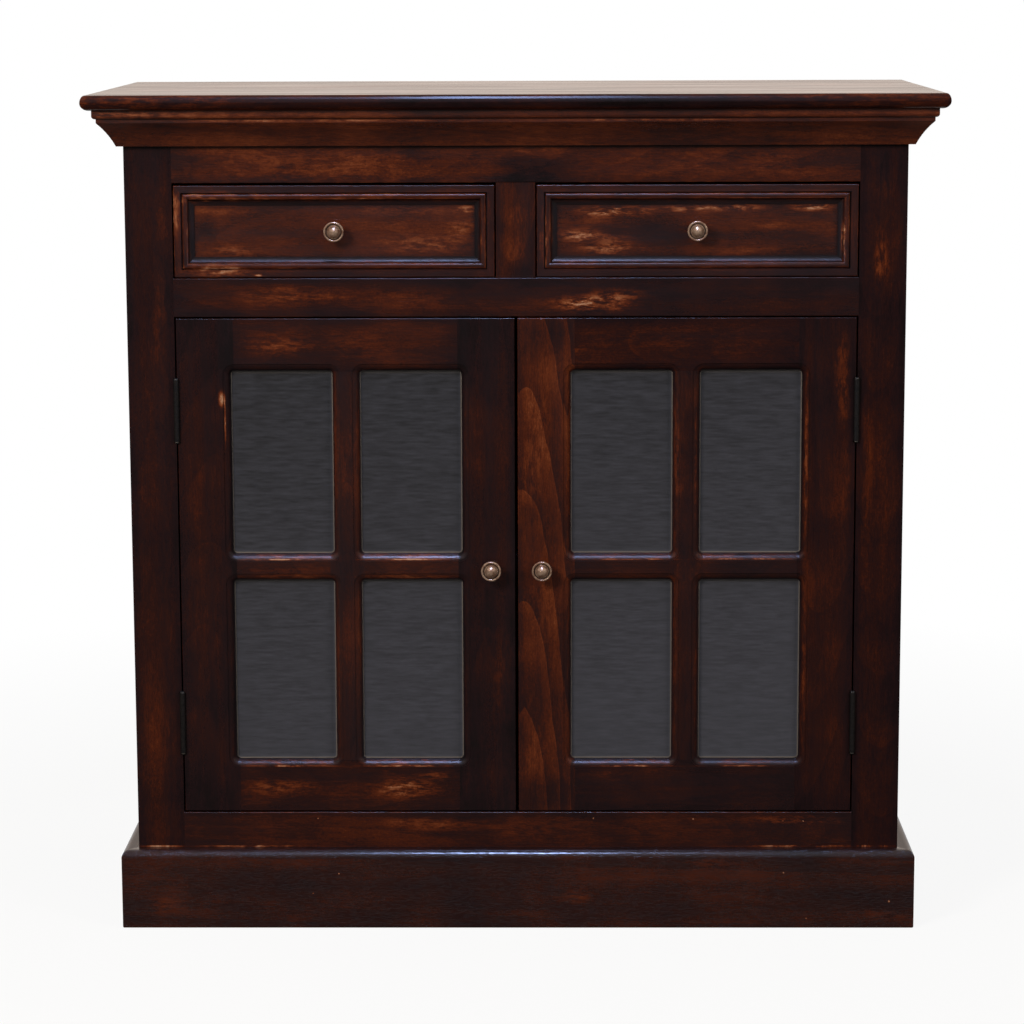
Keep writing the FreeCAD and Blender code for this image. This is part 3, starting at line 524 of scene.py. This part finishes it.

# %% [markdown]
# ## Doors
# The left door's stiles are nearly black. The right door's meeting stile is the lightest board of all and
# shows its growth rings, so the middle of its tree is placed to fit them. The rounded ledges under the panes
# are lighter: partly worn by a duster, partly a painted highlight.

# %% Door frames
OUTER_PANE_MM = 245
INNER_PANE_MM = 119
LOWER_LEDGE_MM = 176
RING_PITH = ((8, -118, 473), (-4.4, 0, 0))
HANDLED_WORN = 0.14


def ledge_wear_and_highlights(side, z):
    """Under the two panes of a row: the ledge, lighter for wear and a painted highlight, and the worn line
    of its front edge at z. Side is -1 for the left door and 1 for the right one."""
    patches = []
    for x in sorted((side * OUTER_PANE_MM, side * INNER_PANE_MM)):
        # the ledge: worn, and a painted highlight
        patches.append(front_patch(x, z + 4, 60, 5, 0.2))
        patches.append(front_patch(x, z, 62, 1.1, 0.5))
    return patches


stain_boards({
    "left_door_hinge_stile": dict(grain="Z", tone=0.165, patches=[
        front_patch(-330, 300, 22, 90, 0.06),
        front_patch(-312, 576, 4.5, 11, 0.62),
        front_patch(-309, 552, 1.2, 30, 0.6),
    ]),
    "left_door_lock_stile": dict(grain="Z", tone=0.15, patches=[front_patch(-15, 270, 12, 90, 0.12)]),
    "left_door_top_rail": dict(grain="X", tone=0.25, patches=[
        front_patch(-250, 632, 45, 14, 0.22),
        front_patch(-160, 632, 60, 18, 0.12),
        front_patch(-128, 634, 30, 16, -0.08),
    ]),
    "left_door_bottom_rail": dict(grain="X", tone=0.22, patches=[
        front_patch(-255, 153, 45, 12, 0.26),
        front_patch(-120, 152, 45, 14, 0.36),
        front_patch(-85, 166, 25, 6, 0.3),
        *ledge_wear_and_highlights(-1, LOWER_LEDGE_MM),
    ]),
    "right_door_hinge_stile": dict(grain="Z", tone=0.195, shine=0.2, patches=[
        front_patch(345, 600, 10, 60, 0.2),
        front_patch(350, 480, 8, 120, 0.1),
        front_patch(308, 515, 2.6, 105, 0.26),
        front_patch(308, 285, 2.6, 95, 0.16),
        front_patch(316, 515, 5, 105, -0.06),
    ]),
    "right_door_lock_stile": dict(grain="Z", tone=0.38, rings=0.2, pith=RING_PITH, patches=[
        front_patch(31, 640, 30, 30, -0.1),
        front_patch(14, 454, 12, 22, -0.1),
        front_patch(22, 540, 18, 60, 0.12),
        front_patch(15, 480, 16, 50, 0.1),
        front_patch(28, 350, 16, 50, 0.1),
        front_patch(18, 190, 18, 40, 0.1),
        front_patch(28, 148, 40, 22, -0.14),
    ]),
    "right_door_top_rail": dict(grain="X", tone=0.2, shine=0.18, patches=[
        front_patch(62, 628, 14, 6, 0.25),
        front_patch(150, 640, 90, 16, 0.08),
    ]),
    "right_door_bottom_rail": dict(grain="X", tone=0.17, figure=0.7, patches=[
        front_patch(90, 165, 60, 8, 0.08),
        *ledge_wear_and_highlights(1, LOWER_LEDGE_MM),
    ]),
# recess: painted shade behind the fronts of the door boards
}, recess=0.16, worn=HANDLED_WORN)

# %% [markdown]
# ## Drawers
# The drawer fronts are darker all round, which shows just inside the moulding: partly stain sprayed on
# before they were rubbed, partly painted shade of the recess. Their top and ends, which only show when a
# drawer is open, got the thin coat of the drawer box.

# %% Drawer fronts
DRAWER_EDGE_MM = 5
THIN_COAT_LIGHTER = 0.6


def drawer_edges(name):
    """The top and the ends of a drawer front."""
    low, high = [corner * 1000 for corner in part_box(name)]
    edges = [level_band(high.z, DRAWER_EDGE_MM, THIN_COAT_LIGHTER)]
    for end in (low.x, high.x):
        edges.append(((end, 0, 0), (DRAWER_EDGE_MM, EVERYWHERE_MM, EVERYWHERE_MM), THIN_COAT_LIGHTER))
    return edges


stain_boards({
    "left_drawer_front": dict(tone=0.37, patches=[
        *drawer_edges("left_drawer_front"),
        front_patch(-95, 739, 60, 12, 0.24),
        front_patch(-58, 757, 22, 14, 0.18),
        front_patch(-53, 776, 18, 5, 0.4),
        front_patch(-120, 774, 60, 6, 0.14),
        front_patch(-300, 774, 50, 6, 0.1),
        front_patch(-300, 732, 34, 8, 0.18),
        front_patch(-326, 757, 14, 18, -0.16),
    ]),
    "right_drawer_front": dict(tone=0.28, patches=[
        *drawer_edges("right_drawer_front"),
        front_patch(88, 773, 30, 8, 0.4),
        front_patch(84, 762, 36, 7, 0.12),
        front_patch(120, 774, 34, 7, 0.4),
        front_patch(104, 743, 26, 6, 0.26),
        front_patch(68, 748, 32, 9, 0.45),
        front_patch(98, 733, 40, 8, 0.4),
        # a painted shadow round the knob
        front_patch(155, 754, 34, 18, -0.14),
        front_patch(178, 776, 34, 6, 0.36),
        front_patch(230, 777, 40, 5, 0.44),
        front_patch(311, 778, 26, 6, 0.55),
        front_patch(267, 758, 25, 4, 0.12),
        front_patch(260, 748, 60, 7, -0.08),
        front_patch(240, 731, 90, 6, 0.12),
    ]),
# shade: sprayed stain, and painted shade round the panel inside the moulding
}, grain="X", ends=29, sides=28, shade=0.7, shine=0.45, worn=HANDLED_WORN)

# %% [markdown]
# ## Glazing bars and drawer mouldings
# In the frame, the three bars of a door are one node, and so are the four strips of a drawer moulding. On
# the real cupboard the grain of each strip runs along it. A frame node keeps its mesh, so a merged copy
# stands in for it, and each face of the copy takes the upright or the level wood, by where it lies: an
# upright bar is the middle of its door, and the mitres of a moulding are where two sides are equally near.
# Merging would blur the edges' shading, so each corner keeps the normal that it had in the frame.

# %% Merged copies
UPRIGHT_BAR_HALF_MM = 18.5
MERGE_M = 1e-6
UPRIGHT = 0
LEVEL = 1


def upright_in_bars(point, low, high):
    return abs(point.x - (low.x + high.x) / 2) < UPRIGHT_BAR_HALF_MM / 1000


def upright_in_moulding(point, low, high):
    to_side = min(point.x - low.x, high.x - point.x)
    to_end = min(point.z - low.z, high.z - point.z)
    return to_side < to_end


def merged_copy(node, is_upright):
    """Mesh of a node with doubled points merged and each face marked as upright or level."""
    low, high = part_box(node)
    source = objects[node].data
    merged = bmesh.new()
    merged.from_mesh(source)
    kept_normal = merged.loops.layers.float_vector.new("kept_normal")
    corners = iter(source.corner_normals)
    for face in merged.faces:
        face.material_index = UPRIGHT if is_upright(face.calc_center_median(), low, high) else LEVEL
        for corner in face.loops:
            corner[kept_normal] = next(corners).vector
    bmesh.ops.remove_doubles(merged, verts=merged.verts, dist=MERGE_M)
    data = bpy.data.meshes.new(node + "_strips")
    merged.to_mesh(data)
    merged.free()
    data.normals_split_custom_set([corner.vector for corner in data.attributes["kept_normal"].data])
    data.attributes.remove(data.attributes["kept_normal"])
    print(node, "has", len(source.vertices), "points, and", len(data.vertices), "merged")
    return data


# %% [markdown]
# The bars have the wear, the painted ledge highlights and the painted recess shade of the door boards round
# them. The mouldings are deeper, so their hollows get more painted shade, and their corners and lower edges
# are rubbed.

# %% Upright and level strips
UPPER_LEDGE_MM = 402.6
# recess: painted shade in the hollows of the bars and mouldings
BARS = dict(recess=0.16, worn=0.12, gloss=0.3)
MOULDING = dict(recess=0.36, gloss=0.36)
STRIPS = {
    "left_door_glazing_bars": (upright_in_bars, dict(BARS, tone=0.29, shine=0.4, patches=[
        front_patch(-182, 420, 16, 90, -0.07),
        front_patch(-245, 384, 60, 2.5, 0.2),
        front_patch(-120, 384, 60, 2.5, 0.2),
        *ledge_wear_and_highlights(-1, UPPER_LEDGE_MM),
    ])),
    "right_door_glazing_bars": (upright_in_bars, dict(BARS, tone=0.22, shine=0.3, patches=[
        *ledge_wear_and_highlights(1, UPPER_LEDGE_MM),
        # these two bands paint the upright bar lit on its left side and shaded on its right
        front_patch(171, 515, 6, 105, 0.16),
        front_patch(184, 515, 4.5, 105, -0.06),
        front_patch(190, 515, 1.8, 105, 0.16),
    ])),
    "left_drawer_moulding": (upright_in_moulding, dict(MOULDING, tone=0.3, shine=0.3, patches=[
        front_patch(-356, 772, 5, 30, 0.34),
        front_patch(-340, 787, 22, 8, 0.24),
        front_patch(-300, 791, 60, 9, 0.2),
        front_patch(-160, 789, 80, 6, 0.15),
        front_patch(-315, 712, 50, 8, 0.4),
        front_patch(-33, 750, 6, 40, 0.12),
        front_patch(-271, 707, 5, 1.5, 0.7),
    ])),
    "right_drawer_moulding": (upright_in_moulding, dict(MOULDING, tone=0.29, shine=0.34, patches=[
        front_patch(344, 742, 4, 30, 0.38),
        front_patch(30, 745, 7, 36, 0.26),
    ])),
}
for node, (is_upright, look) in STRIPS.items():
    data = merged_copy(node, is_upright)
    strips = bpy.data.objects.new(data.name, data)
    bpy.context.scene.collection.objects.link(strips)
    for grain, way in (("Z", "upright"), ("X", "level")):
        wood = stained_wood(f"stained_hardwood_{node}_{way}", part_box(node), grain, **look)
        data.materials.append(wood)
    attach(strips, body_of[node])
    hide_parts(node)
    print(strips.name, len(data.polygons), "faces")

# %% [markdown]
# ## Inner wood
# Drawer boxes, guides and cleats are never seen shut, so they got only a thin coat of stain, and no polish.
# The beads behind the panes were stained with the doors.

# %% Inner boards
THIN_COAT = dict(tone=0.62, gloss=0.6)
BEADS = dict(grain="Z", tone=0.24)
INNER_BOARDS = {
    "drawer_guides": "Y",
    "drawer_stops": "X",
    "cleats": "Y",
    "left_drawer_sides": "Y",
    "right_drawer_sides": "Y",
    "left_drawer_back": "X",
    "right_drawer_back": "X",
    "left_drawer_bottom": "X",
    "right_drawer_bottom": "X",
}
for name, grain in INNER_BOARDS.items():
    # To the eye: paler, warmer wood with hardly a gleam
    wood = stained_wood("thinly_stained_hardwood_" + name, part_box(name), grain, **THIN_COAT)
    finish(objects[name], wood)
print("thinly stained:", ", ".join(INNER_BOARDS))
stain_boards({"left_door_glazing_beads": BEADS, "right_door_glazing_beads": BEADS})

# %% [markdown]
# ## Glass
# A pale line and a paler rim run along the edge of each visible pane, both painted light: a highlight on the
# edge and light that lifts the shade of the rebate. So the glass has to know how far away that edge is. The
# eight panes are alike: folding X at the middle of the cupboard, and X and Z at the middle of a door, lays
# them all on one another, and one distance serves for all.

# %% Edge of the visible pane
PANE_IN_REBATE_MM = 5.5
BAR_BETWEEN_PANES_MM = 29.0
PANE_CORNER_MM = 4.0
panes_low, panes_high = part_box("right_door_glass_panes")
panes_middle = (panes_low + panes_high) / 2
panes_half = (panes_high - panes_low) / 2 - Vector([PANE_IN_REBATE_MM / 1000] * 3)
bar_half = BAR_BETWEEN_PANES_MM / 2000
pane_half = Vector([(side - bar_half) / 2 for side in panes_half])
pane_middle = pane_half + Vector([bar_half] * 3)


def distance_to_sight(tree, place):
    """Distance to the edge of the visible pane, negative inside."""
    corner = PANE_CORNER_MM / 1000
    folded = add(tree, "VectorMath", {0: place}, operation="ABSOLUTE")
    for shift in (panes_middle, pane_middle):
        folded = add(tree, "VectorMath", {0: folded, 1: shift}, operation="SUBTRACT")
        folded = add(tree, "VectorMath", {0: folded}, operation="ABSOLUTE")
    straight = pane_half - Vector([corner] * 3)
    past = add(tree, "VectorMath", {0: folded, 1: straight}, operation="SUBTRACT")
    past = add(tree, "VectorMath", {0: past, 1: (0, 0, 0)}, operation="MAXIMUM")
    past = add(tree, "VectorMath", {0: past, 1: (1, 0, 1)}, operation="MULTIPLY")
    away = add(tree, "VectorMath", {0: past}, operation="LENGTH").outputs["Value"]
    return add(tree, "Math", {0: away, 1: corner}, operation="SUBTRACT")


print("visible pane", round(pane_half.x * 2000, 1), "by", round(pane_half.z * 2000, 1), "mm")

# %% [markdown]
# The panes are smoked float glass: nearly opaque grey, with faint level streaks from drawing, and paler
# towards the bottom and the right. Streaks, that slope and the painted rim light add up to one number, which
# a ramp turns into a grey, and the painted edge light goes on top of it.

# %% Smoked glass
SMOKE = [(0.3, "#252528"), (1.0, "#4b4c55")]
# colour of the painted highlight along a pane's edge
EDGE_LIGHT_COLOUR = "#82786e"
STREAK_MM = (18, 18, 2.4)
STREAK_SHARE = 0.65
SLANT_UP = (-0.25, 0, 1)  # the paler bands slant a little
PALER_BELOW_RANGE = {"From Min": 0.65, "From Max": 0.1, "To Min": 0.08, "To Max": 0.5}
RIM_LIGHT_MM = 4.0
RIM_LIGHT_SHARE = 0.25
EDGE_LINE_MM = 1.5
TOP_LIGHT_MM = 4.0
TOP_LIGHT_SHARE = 0.6
HAZE = {"To Min": 0.3, "To Max": 0.42}


def painted_edge_light(tree, place, to_sight):
    """Share of painted light: a thin highlight all round a pane, and a broader, softer band along its top
    that lifts the shade under the rail or bar above it.
    """
    edge_light = add(tree, "MapRange", {"Value": to_sight, "From Min": -EDGE_LINE_MM / 1000, "From Max": 0.0})
    upper_top = panes_high.z - PANE_IN_REBATE_MM / 1000
    lower_top = (panes_low.z + panes_high.z) / 2 - bar_half
    for top in (upper_top, lower_top):
        height = add(tree, "SeparateXYZ", {0: place}).outputs["Z"]
        below = add(tree, "Math", {0: height, 1: top}, operation="SUBTRACT")
        below = add(tree, "Math", {0: below}, operation="ABSOLUTE")
        top_light = add(tree, "MapRange", {
            "Value": below, "From Min": TOP_LIGHT_MM / 1000, "From Max": -TOP_LIGHT_MM / 4000, "To Max": TOP_LIGHT_SHARE,
        }, interpolation_type="SMOOTHSTEP")
        edge_light = add(tree, "Math", {0: edge_light, 1: top_light}, operation="MAXIMUM")
    return edge_light


def smoked_glass():
    # To the eye: a flat dark grey that hides the inside and mirrors the room only as a haze
    material, tree = new_material("smoked_float_glass")
    place = add(tree, "TexCoord").outputs["Object"]
    streaks = add(tree, "Mapping", {"Vector": place, "Scale": [1000 / size for size in STREAK_MM]})
    drawn = add(tree, "TexNoise", {"Vector": streaks, "Scale": 1.0, "Detail": 3.0, "Roughness": 0.55})
    height = add(tree, "VectorMath", {0: place, 1: SLANT_UP}, operation="DOT_PRODUCT").outputs["Value"]
    paler_below = add(tree, "MapRange", {"Value": height, **PALER_BELOW_RANGE})
    clouded = add(tree, "Math", {0: drawn, 1: STREAK_SHARE, 2: paler_below}, operation="MULTIPLY_ADD")
    to_sight = distance_to_sight(tree, place)
    # painted light near the edge, which lifts the shade that the rebate casts
    painted_rim_light = add(tree, "MapRange", {
        "Value": to_sight, "From Min": -RIM_LIGHT_MM / 1000, "From Max": 0.0, "To Max": RIM_LIGHT_SHARE,
    })
    clouded = add(tree, "Math", {0: clouded, 1: painted_rim_light}, operation="ADD")
    smoke = add(tree, "ValToRGB", {0: clouded}, SMOKE)
    edge_light = painted_edge_light(tree, place, to_sight)
    tint = add(tree, "Mix", {0: edge_light, 6: smoke, 7: linear(EDGE_LIGHT_COLOUR)}, data_type="RGBA").outputs[2]
    haze = add(tree, "MapRange", {"Value": drawn, **HAZE})
    pane = add(tree, "BsdfPrincipled", {
        "Base Color": tint, "Roughness": haze, "Specular IOR Level": 0.6, "Alpha": 0.93,
    })
    add(tree, "OutputMaterial", {"Surface": pane})
    return material


glass = smoked_glass()
print(glass.name, "from", len(glass.node_tree.nodes), "nodes")

# %% [markdown]
# ## Metal and plastic
# The knobs are cast brass, aged to a brown-grey and rubbed bright on the rim and dome, with polish and dirt
# in the groove between them, darkened further as painted shade. The hinges are blackened steel, and screws
# and pins are zinc plated. Tarnish comes and goes in small patches, so one noise runs between two tones of
# each metal, and roughens it where it is dark.

# %% Metals
TARNISH_RANGE = (0.35, 0.65)
TARNISH_DETAIL = 5.0
TARNISH_DULL = 0.12
CASTING_RELIEF = {"Strength": 0.15, "Distance": 0.0001}
DIRT_AND_SHADE_COLOUR = "#34261f"
DIRT_AND_SHADE_FROM = 1.2  # in half widths of the groove
DIRT_AND_SHADE_TO = 0.7
DIRT_AND_SHADE_SHARE = 0.85


def groove_dirt_and_shade(tree, place, axis, inner, outer):
    """Share of dirt and painted shade between two radii round the axis of a turned piece."""
    offset = add(tree, "VectorMath", {0: place, 1: axis}, operation="SUBTRACT")
    level = add(tree, "VectorMath", {0: offset, 1: (1, 0, 1)}, operation="MULTIPLY")
    away = add(tree, "VectorMath", {0: level}, operation="LENGTH").outputs["Value"]
    off_middle = add(tree, "Math", {0: away, 1: (inner + outer) / 2}, operation="SUBTRACT")
    off_middle = add(tree, "Math", {0: off_middle}, operation="ABSOLUTE")
    half = (outer - inner) / 2
    return add(tree, "MapRange", {
        "Value": off_middle, "From Min": half * DIRT_AND_SHADE_FROM, "From Max": half * DIRT_AND_SHADE_TO, "To Max": DIRT_AND_SHADE_SHARE,
    })


def metal(name, dark, light, rough, patch_mm, bare=1.0, groove=None):
    """Tarnished metal. Bare is how little of it is oxide. A groove is the axis of a turned piece and the
    two radii between which dirt has gathered and shade is painted."""
    material, tree = new_material(name)
    place = add(tree, "TexCoord").outputs["Object"]
    tarnish = add(tree, "TexNoise", {"Vector": place, "Scale": 1000 / patch_mm, "Detail": TARNISH_DETAIL})
    colour = add(tree, "ValToRGB", {0: tarnish}, list(zip(TARNISH_RANGE, (dark, light))))
    dull = add(tree, "MapRange", {
        "Value": tarnish, "To Min": rough + TARNISH_DULL, "To Max": rough - TARNISH_DULL,
    })
    bump = add(tree, "Bump", {"Height": tarnish, **CASTING_RELIEF})
    if groove:
        dirt_and_shade = groove_dirt_and_shade(tree, place, *groove)
        colour = add(tree, "Mix", {0: dirt_and_shade, 6: colour, 7: linear(DIRT_AND_SHADE_COLOUR)}, data_type="RGBA").outputs[2]
    body = add(tree, "BsdfPrincipled", {
        "Base Color": colour, "Metallic": bare, "Roughness": dull, "Normal": bump,
    })
    add(tree, "OutputMaterial", {"Surface": body})
    return material


# To the eye: near black with a weak grey gleam
black_steel = metal("blackened_steel", "#0d0b0a", "#1e1a18", 0.42, 3.0, 0.3)
# To the eye: pale grey dots
screw_steel = metal("zinc_plated_steel", "#77736d", "#a09b93", 0.4, 2.0)
print("metals:", black_steel.name, screw_steel.name)

# %% [markdown]
# The housings of the catches are moulded plastic. They have a fine grit from their mould, which shows in
# the colour and the relief.

# %% Plastic
GRIT_MM = 0.8  # coarser than real grit, so that it shows
GRIT_RELIEF = {"Strength": 0.2, "Distance": 0.0001}
GRIT_COLOURS = [(0.0, "#2a1a13"), (1.0, "#3b261c")]

# To the eye: a dull brown close to the wood
catch_plastic, tree = new_material("brown_moulded_plastic")
place = add(tree, "TexCoord").outputs["Object"]
grit = add(tree, "TexNoise", {"Vector": place, "Scale": 1000 / GRIT_MM, "Detail": 2.0})
brown = add(tree, "ValToRGB", {0: grit}, GRIT_COLOURS)
bump = add(tree, "Bump", {"Height": grit, **GRIT_RELIEF})
moulded = add(tree, "BsdfPrincipled", {"Base Color": brown, "Roughness": 0.5, "Normal": bump})
add(tree, "OutputMaterial", {"Surface": moulded})
print("plastic:", catch_plastic.name)

# %% [markdown]
# Which piece gets which of these follows from its name. Each knob has its own brass, because the groove
# runs round its own axis.

# %% Fittings and panes
GROOVE_INNER = 0.66  # in radii of the knob
GROOVE_OUTER = 0.82
for name, piece in objects.items():
    if name.endswith("glass_panes"):
        finish(piece, glass)
    elif name.endswith("_knob"):
        low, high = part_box(name)
        rim = (high.x - low.x) / 2
        groove = ((low + high) / 2, rim * GROOVE_INNER, rim * GROOVE_OUTER)
        # To the eye: warm grey with a bright dome and rim, and a dark ring between them
        brass = metal("aged_cast_brass_" + name, "#9a745e", "#d8b8a0", 0.28, 4.0, 0.7, groove)
        finish(piece, brass)
    elif name.endswith("leaves"):
        finish(piece, black_steel)
    elif "screw" in name or name.endswith(("strike_plate", "pins")):
        finish(piece, screw_steel)
    elif name == "magnetic_catches":
        finish(piece, catch_plastic)
print(len(bpy.data.materials), "materials on", len(objects), "nodes")

# %% [markdown]
# ## Studio
# The cupboard stands on a pale floor in front of a white background. Only the camera, and mirror rays that
# go to the back, see the floor white: the room on the camera's side is dim, which keeps the dark front deep.

# %% Floor
FLOOR_SIZE_M = 14.0
BEHIND_RANGE = {"From Min": 0.0, "From Max": 0.4}  # Y from which a mirrored floor turns white
SHADOW_RANGE = {"From Min": 0.7, "From Max": 1.6, "To Min": 0.9, "To Max": 1.0}  # fades out with distance
MATT = {"Roughness": 0.9, "Specular IOR Level": 0.1}
WHITE = (1, 1, 1, 1)

mesh = bmesh.new()
bmesh.ops.create_grid(mesh, x_segments=1, y_segments=1, size=FLOOR_SIZE_M / 2)
floor_mesh = bpy.data.meshes.new("studio_floor")
mesh.to_mesh(floor_mesh)
mesh.free()
floor = bpy.data.objects.new("studio_floor", floor_mesh)
bpy.context.scene.collection.objects.link(floor)

# To the eye: white paper with a faint shadow round the plinth
floor_paint, tree = new_material("matt_floor_paint")
rays = add(tree, "LightPath").outputs
place = add(tree, "TexCoord").outputs["Object"]
behind = add(tree, "SeparateXYZ", {0: place}).outputs["Y"]
behind = add(tree, "MapRange", {"Value": behind, **BEHIND_RANGE})
mirrored = add(tree, "Math", {0: rays["Is Glossy Ray"], 1: rays["Is Transmission Ray"]}, operation="MAXIMUM")
mirrored = add(tree, "Math", {0: mirrored, 1: behind}, operation="MULTIPLY")
pale = add(tree, "Math", {0: rays["Is Camera Ray"], 1: mirrored}, operation="MAXIMUM")
paint = add(tree, "BsdfPrincipled", {"Base Color": linear("#e8e7e5"), **MATT})
white = add(tree, "Emission", {"Color": WHITE, "Strength": 1.0})
away = add(tree, "VectorMath", {0: place}, operation="LENGTH").outputs["Value"]
plain = add(tree, "MapRange", {"Value": away, **SHADOW_RANGE})
seen = add(tree, "MixShader", {0: plain, 1: paint, 2: white})
grey = add(tree, "BsdfPrincipled", {"Base Color": linear("#565554"), **MATT})
lit = add(tree, "MixShader", {0: pale, 1: grey, 2: seen})
add(tree, "OutputMaterial", {"Surface": lit})
finish(floor, floor_paint)
print("floor", FLOOR_SIZE_M, "m wide")

# %% [markdown]
# The background works the same way. The polished top mirrors the warm wall behind it at a flat angle, and
# that is what makes it so pale in the picture.

# %% Background
WARM_WALL = "#fff0e4"
WALL_RANGE = {"From Min": 0.0, "From Max": 0.6, "To Min": 0.13, "To Max": 1.08}
CEILING_RANGE = {"From Min": 0.05, "From Max": 0.5, "To Min": 0.0, "To Max": 0.5}
DAYLIGHT = 0.3

world = bpy.data.worlds.new("studio")
bpy.context.scene.world = world
world.use_nodes = True
tree = world.node_tree
tree.nodes.clear()
rays = add(tree, "LightPath").outputs
direction = add(tree, "TexCoord").outputs["Generated"]
towards = add(tree, "SeparateXYZ", {0: direction}).outputs
wall = add(tree, "MapRange", {"Value": towards["Y"], **WALL_RANGE})
ceiling = add(tree, "MapRange", {"Value": towards["Z"], **CEILING_RANGE})
mirror = add(tree, "Math", {0: wall, 1: ceiling}, operation="MAXIMUM")
mirrored = add(tree, "Math", {0: rays["Is Glossy Ray"], 1: rays["Is Transmission Ray"]}, operation="MAXIMUM")
soft = add(tree, "Mix", {0: mirrored, 2: DAYLIGHT, 3: mirror}, data_type="FLOAT")
level = add(tree, "Mix", {0: rays["Is Camera Ray"], 2: soft, 3: 1.0}, data_type="FLOAT")
to_wall = add(tree, "Math", {0: wall, 1: mirrored}, operation="MULTIPLY")
warmth = add(tree, "Mix", {0: to_wall, 6: WHITE, 7: linear(WARM_WALL)}, data_type="RGBA").outputs[2]
sky = add(tree, "Background", {"Color": warmth, "Strength": level})
add(tree, "OutputWorld", {"Surface": sky})
print("background from", len(tree.nodes), "nodes")

# %% [markdown]
# ## Lamps
# A key lamp on the left and a weaker one on the right light the wood. A lamp strong enough for dark wood
# would burn out in a glossy top, so lighting and shine are kept apart: each soft lamp either lights the
# wood or only shows in its varnish. The bluish highlight in the middle of the top and the plinth comes from
# a narrow window high up in front.

# %% Lamps
def softbox(name, place, target, size, colour, watts, for_shine):
    """Soft lamp that either lights the wood or only shows in its varnish."""
    lamp = bpy.data.lights.new(name, "AREA")
    lamp.shape = "RECTANGLE"
    lamp.size, lamp.size_y = size
    lamp.energy = watts
    lamp.color = linear(colour)[:3]
    holder = bpy.data.objects.new(name, lamp)
    holder.location = place
    holder.rotation_euler = (Vector(target) - Vector(place)).to_track_quat("-Z", "Y").to_euler()
    holder.visible_diffuse = not for_shine
    holder.visible_glossy = for_shine
    bpy.context.scene.collection.objects.link(holder)
    print(name, watts, "W")


FRONT_MIDDLE = (0, -0.1, 0.5)
KEY = dict(place=(-1.7, -2.6, 2.1), target=FRONT_MIDDLE, size=(0.9, 0.9), colour="#fff6ea")
FILL = dict(place=(2.2, -2.0, 1.8), target=FRONT_MIDDLE, size=(0.9, 0.9), colour="#fff6ec")
CEILING = dict(place=(-0.05, -1.6, 2.2), target=(-0.05, -0.2, 0.4), size=(1.0, 2.4), colour="#b9c4ea")
WINDOW = dict(place=(-0.05, -1.3, 2.3), target=(-0.05, -0.3, 0.0), size=(0.24, 0.9), colour="#a8c2ff")
softbox("key_left", **KEY, watts=80, for_shine=False)
softbox("fill_right", **FILL, watts=30, for_shine=False)
softbox("key_gleam", **KEY, watts=20, for_shine=True)
softbox("fill_gleam", **FILL, watts=16, for_shine=True)
softbox("ceiling_front", **CEILING, watts=6, for_shine=True)
softbox("window_above", **WINDOW, watts=44, for_shine=True)

# %% [markdown]
# ## Camera
# The straight edges of the cupboard in the picture fix the camera: about 3.4 m in front of the face, a
# little above the top, with a short telephoto lens.

# %% Camera
CAMERA_PLACE = (0.03684, -3.5685, 1.01657)
CAMERA_YAW = math.radians(-0.7035)
CAMERA_PITCH = math.radians(9.4267)
CAMERA_ROLL = math.radians(-0.1979)
LENS_MM = 113.32
SENSOR_MM = 36.0
eye = bpy.data.cameras.new("camera")
eye.lens = LENS_MM
eye.sensor_width = SENSOR_MM
camera = bpy.data.objects.new("camera", eye)
turn = Matrix.Rotation(-CAMERA_YAW, 4, "Z") @ Matrix.Rotation(math.radians(90) - CAMERA_PITCH, 4, "X")
turn = turn @ Matrix.Rotation(CAMERA_ROLL, 4, "Z")
camera.matrix_world = Matrix.Translation(CAMERA_PLACE) @ turn
bpy.context.scene.collection.objects.link(camera)
bpy.context.scene.camera = camera
bpy.context.scene.view_settings.view_transform = "Standard"
print("camera at", CAMERA_PLACE)
